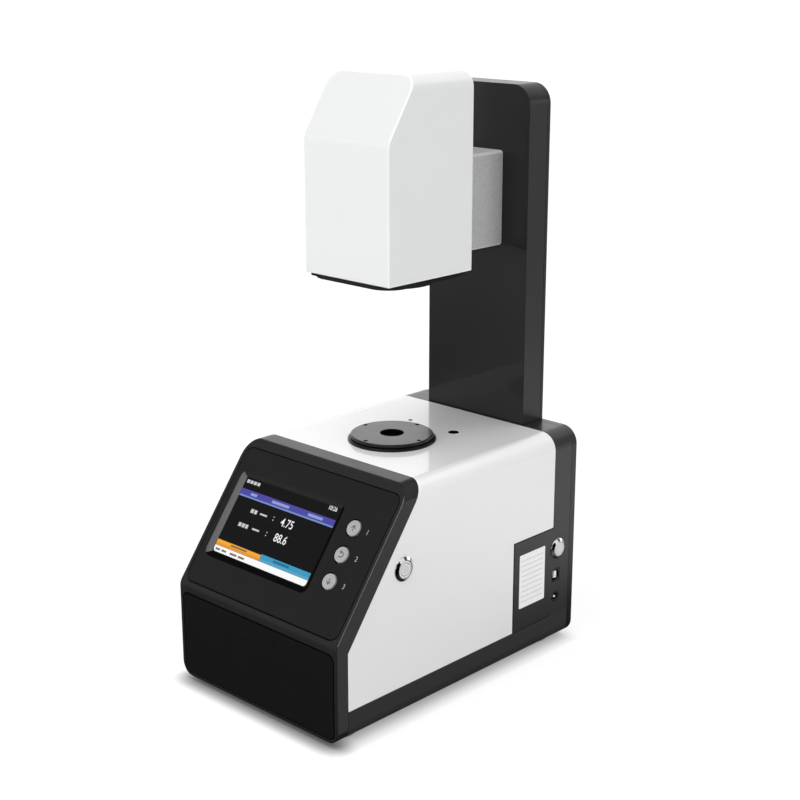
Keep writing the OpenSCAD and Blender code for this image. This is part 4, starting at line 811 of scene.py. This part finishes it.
port_black = finish("port ring black", display(16, 16, 17), 0.3, grain=900, depth=0.01, shine=0.25)
port_grey = finish("black anodised plate", display(41, 41, 42), 0.3, coat=0.3, mottle=0.1, blotch=600,
                   grain=1400, depth=0.015)
plate_rim = finish("black anodised rim", display(28, 28, 29), 0.3, mottle=0.08, grain=1400, depth=0.01,
                   shine=0.3)
on_port = Matrix.Translation(Vector((0, port_y, base_top)) / 1000)

port_ring = turned("sample_port_ring", [
    (12, -4.5), (24, -4.5), (24, 0), (39.7, 0), (39.7, 1.3), (39.4, 1.6), (38.9, 1.75), (38.9, 2.2),
    (38.5, 2.4), (12, 2.4), (12, -4.5)], 128)
soften(port_ring, 0.12, 2)
place(port_ring, on_port)
settle(port_ring, port_black, ("port_ring",))

port_plate = turned("sample_port_plate", [
    (10.5, 2.4), (36.3, 2.4), (37.2, 3.3), (37.2, 4.9), (36.9, 5.45), (36.3, 5.8), (11.1, 5.8), (10.7, 5.65),
    (10.5, 5.2), (10.5, 2.4)], 128)
port_screw_r = 33.4
port_screw_places = [(port_screw_r * math.cos(turn), port_screw_r * math.sin(turn))
                     for turn in (0, math.pi / 2, math.pi, 3 * math.pi / 2)]
for x, y in port_screw_places:
    cut_away(port_plate, rod("screw recess", 2, "z", (x, y, 4.6), (x, y, 8), 32),
             rod("screw hole", 1.1, "z", (x, y, 0), (x, y, 5), 24))


def in_port_hole(m, way):
    """Whether a face is in the middle opening of the port plate or in one of its screw recesses."""
    by_screw = any(math.hypot(m.x - x, m.y - y) < 2.3 for x, y in port_screw_places)
    return math.hypot(m.x, m.y) < 10.9 or by_screw and m.z < 5.75


soften(port_plate, 0.12, 2)
paint(port_plate, 1, lambda m, way: m.length > 30 and way.z < 0.6)
# The middle opening and the screw recesses are painted black: painted shade in them.
paint(port_plate, 2, in_port_hole)
place(port_plate, on_port)
settle(port_plate, port_grey, ("port_plate",), edge=plate_rim, third=black_and_painted_shade)

# Rear frame covers and column: a shallow vented cover closes the base, and
# the tall column behind the port is a black channel with its own cover.

column_black = satin("satin black enamel", 25, 0.42, coat=0.2, shine=0.33)
column_side_painted_light = satin("satin black enamel of the column's sides", 42, 0.42, coat=0.22)

back_y, recess_depth, recess_r, screw_hole_r = 155, 2.8, 3.05, 1.65
column_half, column_top, column_r = 59, 517.9, 18
column_front, column_seam = 125.5, 151
bolt_places = [(x, z) for x in (-15, 15) for z in (388.7, 444.3)]
cable_r, cable_z = 8, 416.5


def column_block(name, y0, y1, inset=0, low=base_top):
    """A block with the front outline of the column, taken in by inset."""
    block = start_block(name, (inset - column_half, y0, low), (column_half - inset, y1, column_top - inset))
    round_edges(block, lambda m, way: abs(way.y) > 0.9 and m.z > 500, column_r - inset, 12)
    return block


def back_screw_cutters(places):
    """Cutters for sunk screws in a back cover: all the recesses, then all the holes."""
    recess_floor = back_y - recess_depth
    recesses = [rod("screw recess", recess_r, "y", (x, recess_floor, z), (x, 170, z)) for x, z in places]
    holes = [rod("screw hole", screw_hole_r, "y", (x, 140, z), (x, 170, z), 24) for x, z in places]
    return recesses + holes


def column_side(m, way):
    """Whether a face is on the flat of one of the column's sides."""
    return abs(way.x) > 0.97 and abs(m.x) > column_half - 1


rear_places = [(side * x, z) for side in (-1, 1) for x, z in ((91, 13), (93, 154), (91, 200))]
rear_cover = outline_block("base_rear_cover", frame_back, back_y)
cut_away(rear_cover, outline_block("rear cover inside", 140, back_y - 3, 3), *back_screw_cutters(rear_places))
vent_x, vent_half, vent_low, vent_step = 42, 17, 66, 7
for side in (-1, 1):
    for row in range(7):
        x, z = side * vent_x, vent_low + row * vent_step
        vent = start_block("vent", (x - vent_half, 140, z - 1.3), (x + vent_half, 170, z + 1.3))
        round_edges(vent, lambda m, way: abs(way.y) > 0.9, 1.28, 5)
        cut_away(rear_cover, vent)
soften(rear_cover, 0.35)
settle(rear_cover, chassis_black, ("rear_cover",))

column = column_block("column_front", column_front, column_seam)
cut_away(column, column_block("column inside", column_front + 3, 160, 3, 190),
         *[rod("bolt hole", 3.2, "y", (x, 120, z), (x, 135, z), 32) for x, z in bolt_places],
         rod("cable hole", cable_r, "y", (0, 120, cable_z), (0, 135, cable_z)))
soften(column, 0.5, 4)
# The sides of the column are painted lighter than its front: painted light.
paint(column, 2, column_side)
settle(column, column_black, ("column",), third=column_side_painted_light)

column_places = [(side * 52, z) for side in (-1, 1) for z in (229, 363.5, 487.9)]
column_back = column_block("column_rear_cover", column_seam, back_y)
cut_away(column_back, *back_screw_cutters(column_places))
soften(column_back, 0.5, 4)
# The sides of the column cover are painted lighter than its back: painted light.
paint(column_back, 2, column_side)
settle(column_back, column_black, ("column_cover",), third=column_side_painted_light)

# Cast arm: a blasted aluminium block between the column and the head, bored
# through for the lamp cable and tapped at both ends.

cast_grey = finish("blasted casting", display(198, 198, 199), 0.6, metal=0.25, mottle=0.9, blotch=1300,
                   grain=1300, depth=0.06)
cast_lighter_edge = finish("lighter edges of the casting", display(226, 226, 227), 0.45, metal=0.25, mottle=0.3,
                   blotch=900, grain=1300, depth=0.02)

head_back = 61.5
arm_half, arm_low, arm_high = 29.6, 373.7, 459.3
arm = start_block("arm_block", (-arm_half, head_back, arm_low), (arm_half, column_front, arm_high))
round_edges(arm, lambda m, way: abs(way.y) > 0.9, 3, 6)
cut_away(arm, rod("cable hole", cable_r, "y", (0, 50, cable_z), (0, 140, cable_z)),
         *[rod("bolt hole", 3.1, "y", (x, y, z), (x, y + 19, z), 32) for x, z in bolt_places
           for y in (head_back - 1, column_front - 18)])
soften(arm, 0.4)
# The rounded edges along the sides are painted a lighter grey.
paint(arm, 1, lambda m, way: 0.15 < abs(way.x) < 0.97 and abs(way.y) < 0.5)
settle(arm, cast_grey, ("cast_arm",), edge=cast_lighter_edge)

# Head: a white enamelled cover over the lamp, closed from below by a black
# plate with the lens ring.

head_white = enamel("gloss white enamel on the head", display(240, 241, 241))

head_half, head_front = 50.2, -42.6
head_low, head_kink, head_top = 362.6, 481, 533.6
head_run = 34.1
head_lean = math.atan2(head_run, head_top - head_kink)
head_way = leaning(head_run, head_top - head_kink)
head_kink_r, head_top_r = 12, 14
head_middle = (head_front + head_back) / 2


def head_block(name, inset=0, low=head_low):
    """Form of the head, taken in by inset."""
    top = head_top - inset
    block = start_block(name, (inset - head_half, head_front + inset, low),
                        (head_half - inset, head_back - inset, top))
    slice_off(block, Vector((0, head_front, head_kink)) - inset * head_way, head_way)
    round_edges(block, lambda m, way: abs(way.x) > 0.9 and m.y < 0 and abs(m.z - head_kink) < 9,
                head_kink_r * math.tan(head_lean / 2), 8)
    round_edges(block, lambda m, way: abs(m.x) > 50 - inset and abs(m.z - top) < 1 and abs(way.y) > 0.9,
                head_top_r - inset, 12)
    return block


head = head_block("head_cover")
cut_away(head, head_block("head inside", 2.5, 340),
         *[rod("bolt hole", 3.2, "y", (x, 55, z), (x, 70, z), 32) for x, z in bolt_places],
         rod("cable hole", cable_r, "y", (0, 55, cable_z), (0, 70, cable_z)))
# Its rounded edges are painted a brighter white: a painted highlight.
soften(head, 1.2, 5)
settle(head, head_white, ("head_shell",), edge=white_edge_highlight)

head_floor = plate("head_bottom_plate", 99, 102.7, 358.9, head_low, 20, (0, head_middle), 12)
cut_away(head_floor, plate("step", 94.8, 98.5, 360, 365.6, 2, (0, head_middle), 4), operation="UNION")
head_screw_places = [(x, y) for x in (-33, 33) for y in (-36.9, 55.8)]
cut_away(head_floor, rod("lens hole", 33.9, "z", (0, port_y, 350), (0, port_y, 380), 96),
         *[rod("screw recess", recess_r, "z", (x, y, 350), (x, y, 361.5)) for x, y in head_screw_places],
         *[rod("screw hole", screw_hole_r, "z", (x, y, 350), (x, y, 380), 24) for x, y in head_screw_places])
soften(head_floor, 0.3)
settle(head_floor, port_black, ("head_plate",))

lens_holder = turned("lens_holder", [
    (26, 354), (38.3, 354), (39.3, 355), (39.3, 358.9), (33.8, 358.9), (33.8, 365.6), (29, 365.6),
    (29, 357.2), (26, 357.2), (26, 354)], 128)
soften(lens_holder, 0.2, 2)
place(lens_holder, Matrix.Translation((0, port_y / 1000, 0)))
settle(lens_holder, port_black, ("lens_ring",))

# Feet: four tapered feet of pale grey rubber under the corners of the base,
# each with a recess for the screw that holds it.

rubber = finish("foot rubber", display(205, 205, 205), 0.75, mottle=0.1, grain=900, depth=0.04)
foot_profile = [(9.3, 0), (9.6, 0.3), (10, base_low), (1.65, base_low), (1.65, 3), (3.15, 3), (3.15, 0.2),
                (3.4, 0), (9.3, 0)]
foot_x, foot_y = 78, 128
foot_places = [(x, y) for y in (-foot_y, foot_y) for x in (-foot_x, foot_x)]
for count, (x, y) in enumerate(foot_places, 1):
    foot = turned("foot_%d" % count, foot_profile, 64)
    shade(foot)
    place(foot, Matrix.Translation((x / 1000, y / 1000, 0)))
    settle(foot, rubber, ("feet",))

# Pieces inside, and the screws: they keep the mesh of the construction, and
# take finishes like those of the real materials.

board_green = finish("board lacquer", display(24, 82, 48), 0.35, mottle=0.3, blotch=500, grain=600,
                     depth=0.05)
sphere_alloy = finish("machined alloy", display(172, 174, 177), 0.4, metal=0.9, mottle=0.1, blotch=90,
                      grain=600, depth=0.01)
anodised = finish("black anodised metal", display(26, 26, 27), 0.4, metal=0.2, grain=900, depth=0.01)
steel = finish("zinc steel", display(190, 192, 196), 0.32, metal=1.0, mottle=0.08, grain=700, depth=0.01)
lamp_white = finish("lamp board", display(225, 222, 210), 0.4, mottle=0.1, blotch=300, grain=600, depth=0.01)
display_metal = finish("display frame", display(80, 82, 86), 0.4, metal=0.8, mottle=0.05, grain=600,
                       depth=0.01)
lens_clear = finish("lens glass", display(245, 248, 250), 0.04, mottle=0.01, spread=0.02, grain=200,
                    depth=0.0005)
lens_clear.node_tree.nodes["Principled BSDF"].inputs["Transmission Weight"].default_value = 1

for material, names in (
        (board_green, ("key_board", "main_board", "connector_board")),
        (sphere_alloy, ("sphere_upper", "sphere_lower", "sphere_posts")),
        (black_and_painted_shade, ("port_screws",)),
        (anodised, ("compensation_tube", "detector_holder", "light_trap", "lens_barrel", "aperture_stop",
                    "heat_sink", "key_switches")),
        (steel, ("sphere_bolts", "photodetector", "foot_screws", "cover_screws", "bezel_screws",
                 "rear_screws", "column_screws", "column_spine", "arm_bolts", "head_bolts",
                 "head_plate_screws", "head_bracket", "power_button_nut", "test_button_nut")),
        (lamp_white, ("lamp_module",)),
        (display_metal, ("display_module",)),
        (lens_clear, ("collimator_lens",))):
    for name in names:
        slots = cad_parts[name].data.materials
        for index in range(len(slots)):
            slots[index] = material

# Floor: a white studio floor that glows. The lens sees it white with a soft shadow near the base, mostly a
# painted shadow and partly a real one, and polished faces see a painted reflection, brighter behind and
# beside the base.

bpy.ops.object.select_all(action="DESELECT")
bpy.ops.mesh.primitive_plane_add(size=60, location=(0, 0, 0))
floor = bpy.context.object
floor.name = "studio_floor"
floor_paint = bpy.data.materials.new("studio floor")
floor_paint.use_nodes = True
nodes, link = floor_paint.node_tree.nodes, floor_paint.node_tree.links.new
matt_white = nodes["Principled BSDF"]
matt_white.inputs["Base Color"].default_value = (0.9, 0.9, 0.9, 1)
matt_white.inputs["Roughness"].default_value = 1
matt_white.inputs["Specular IOR Level"].default_value = 0


def ramp(source, start, end, low, high):
    """A number that runs from low to high while the source runs from start to end."""
    node = nodes.new("ShaderNodeMapRange")
    node.interpolation_type = "SMOOTHSTEP"
    for socket, value in (("From Min", start), ("From Max", end), ("To Min", low), ("To Max", high)):
        node.inputs[socket].default_value = value
    link(source, node.inputs["Value"])
    return node.outputs[0]


def feed(socket, value):
    """Gives a socket a plain number or what another node puts out."""
    if isinstance(value, (int, float)):
        socket.default_value = value
    else:
        link(value, socket)


def combine(operation, first, second):
    """Two numbers made one."""
    node = nodes.new("ShaderNodeMath")
    node.operation = operation
    feed(node.inputs[0], first)
    feed(node.inputs[1], second)
    return node.outputs[0]


def axes(kind):
    """The X, Y and Z of a point or a direction."""
    coordinates = nodes.new("ShaderNodeTexCoord")
    parts = nodes.new("ShaderNodeSeparateXYZ")
    link(coordinates.outputs[kind], parts.inputs[0])
    return parts.outputs["X"], parts.outputs["Y"], parts.outputs["Z"]


def glowing(strength):
    """White light from the surface itself."""
    node = nodes.new("ShaderNodeEmission")
    feed(node.inputs["Strength"], strength)
    return node


def mix(factor, first, second):
    """The first shader where the factor is 0 and the second one where it is 1."""
    node = nodes.new("ShaderNodeMixShader")
    feed(node.inputs[0], factor)
    link(first.outputs[0], node.inputs[1])
    link(second.outputs[0], node.inputs[2])
    return node


seen = nodes.new("ShaderNodeLightPath")
floor_x, floor_y = axes("Object")[:2]
# Polished faces see a painted reflection: the floor glows for them, brighter behind and beside the base and
# far out in front on the left.
from_middle = combine("ABSOLUTE", floor_x, 0)
beyond = combine("MAXIMUM", ramp(from_middle, 0.13, 0.24, 0, 1), ramp(floor_y, 0.24, 0.4, 0, 1))
back_light = combine("MULTIPLY", ramp(floor_y, 0, 0.4, 0, 0.74), ramp(floor_y, 0.55, 1.2, 1, 0.3))
back_floor = combine("MULTIPLY", back_light, beyond)
front_light = ramp(floor_y, -0.25, -1.4, 0.025, 0.75)
front_floor = combine("MULTIPLY", front_light, ramp(floor_x, 0.15, 0.35, 1, 0))
glow_for_reflections = glowing(combine("MAXIMUM", back_floor, front_floor))

# The lens sees a painted shadow: the floor's glow is darkened by ambient occlusion near the base, more deeply
# in front, with a small share of real shadow on the matt white.
nearby = nodes.new("ShaderNodeAmbientOcclusion")
nearby.samples = 16
nearby.inputs["Distance"].default_value = 0.016
beside_front, before_front = -0.13, -0.16
painted_shadow_power = ramp(floor_y, beside_front, before_front, 0.9, 3)
least = ramp(floor_y, beside_front, before_front, 0.22, 0)
unshaded = 0.86
shaded = combine("MULTIPLY", combine("POWER", nearby.outputs["AO"], painted_shadow_power),
                 combine("SUBTRACT", unshaded, least))
bright = glowing(combine("ADD", shaded, least))
lit = nodes.new("ShaderNodeAddShader")
link(mix(0.2, glowing(0), matt_white).outputs[0], lit.inputs[0])
link(bright.outputs[0], lit.inputs[1])
for_lens = mix(seen.outputs["Is Camera Ray"], matt_white, lit)
for_all = mix(seen.outputs["Is Glossy Ray"], for_lens, glow_for_reflections)
link(for_all.outputs[0], nodes["Material Output"].inputs["Surface"])
floor.data.materials.append(floor_paint)

# Light: an even white room, a band of which is all that polished faces see,
# and one large soft lamp above the front.

world = bpy.data.worlds.new("studio")
bpy.context.scene.world = world
world.use_nodes = True
nodes, link = world.node_tree.nodes, world.node_tree.links.new


def room(grey, strength):
    """Light from the whole room."""
    node = nodes.new("ShaderNodeBackground")
    node.inputs["Color"].default_value = (grey, grey, grey, 1)
    feed(node.inputs["Strength"], strength)
    return node


path = nodes.new("ShaderNodeLightPath")
way_x, way_y, way_z = axes("Generated")
right_side = ramp(way_x, 0.35, 0.6, 0, 1)
towards_back = combine("MAXIMUM", ramp(way_y, -0.2, 0.4, 0, 1),
                       combine("MULTIPLY", ramp(way_y, -0.2, 0.05, 0, 1), right_side))
behind = combine("MULTIPLY", towards_back, ramp(way_z, 0.12, 0.4, 2, 1.1))
low_band = ramp(way_z, 0.45, 0.15, 0.12, 0.9)
front_side = combine("MULTIPLY", ramp(way_y, 0.35, 0.1, 0, 1), ramp(way_y, -0.45, -0.3, 0, 1))
screened = combine("MULTIPLY", combine("MULTIPLY", right_side, front_side), ramp(way_z, 0.4, 0.36, 0, 1))
turn_right = combine("DIVIDE", way_x, way_y)
gap = combine("MULTIPLY", ramp(turn_right, 0.5, 0.62, 0, 0.9), ramp(turn_right, 1.1, 1.25, 1, 0))
gap_right = combine("MULTIPLY", gap, ramp(way_x, 0.1, 0.3, 0, 1))
open_part = combine("MULTIPLY", combine("SUBTRACT", 1, screened), combine("SUBTRACT", 1, gap_right))

ambient = room(1, 0.68)
mirror_light = room(0.8, combine("MULTIPLY", combine("MAXIMUM", behind, low_band), open_part))
white = room(1, 1)
for_mirrors = mix(path.outputs["Is Glossy Ray"], ambient, mirror_light)
for_camera = mix(path.outputs["Is Camera Ray"], for_mirrors, white)
link(for_camera.outputs[0], nodes["World Output"].inputs["Surface"])

lamp_data = bpy.data.lights.new("soft lamp", "SUN")
lamp_data.energy = 1.45
lamp_data.angle = math.radians(50)
lamp = bpy.data.objects.new("soft_lamp", lamp_data)
bpy.context.scene.collection.objects.link(lamp)
towards_lamp = Vector((0.0, -0.4, 0.917))
lamp.rotation_euler = towards_lamp.to_track_quat("Z", "Y").to_euler()

# Camera: a long lens at the front right corner, a little above the screen,
# fitted to the points of the photo.

camera_down, camera_turn = 16.37, 43.66
camera_data = bpy.data.cameras.new("camera")
camera_data.lens = 69.69
camera_data.sensor_width = 36
camera_data.clip_end = 200
camera_data.dof.use_dof = False
camera = bpy.data.objects.new("camera", camera_data)
bpy.context.scene.collection.objects.link(camera)
camera.location = (0.9207, -0.9415, 0.6347)
camera.rotation_euler = (math.radians(90 - camera_down), 0, math.radians(camera_turn))
bpy.context.scene.camera = camera
bpy.context.scene.view_settings.view_transform = "Standard"
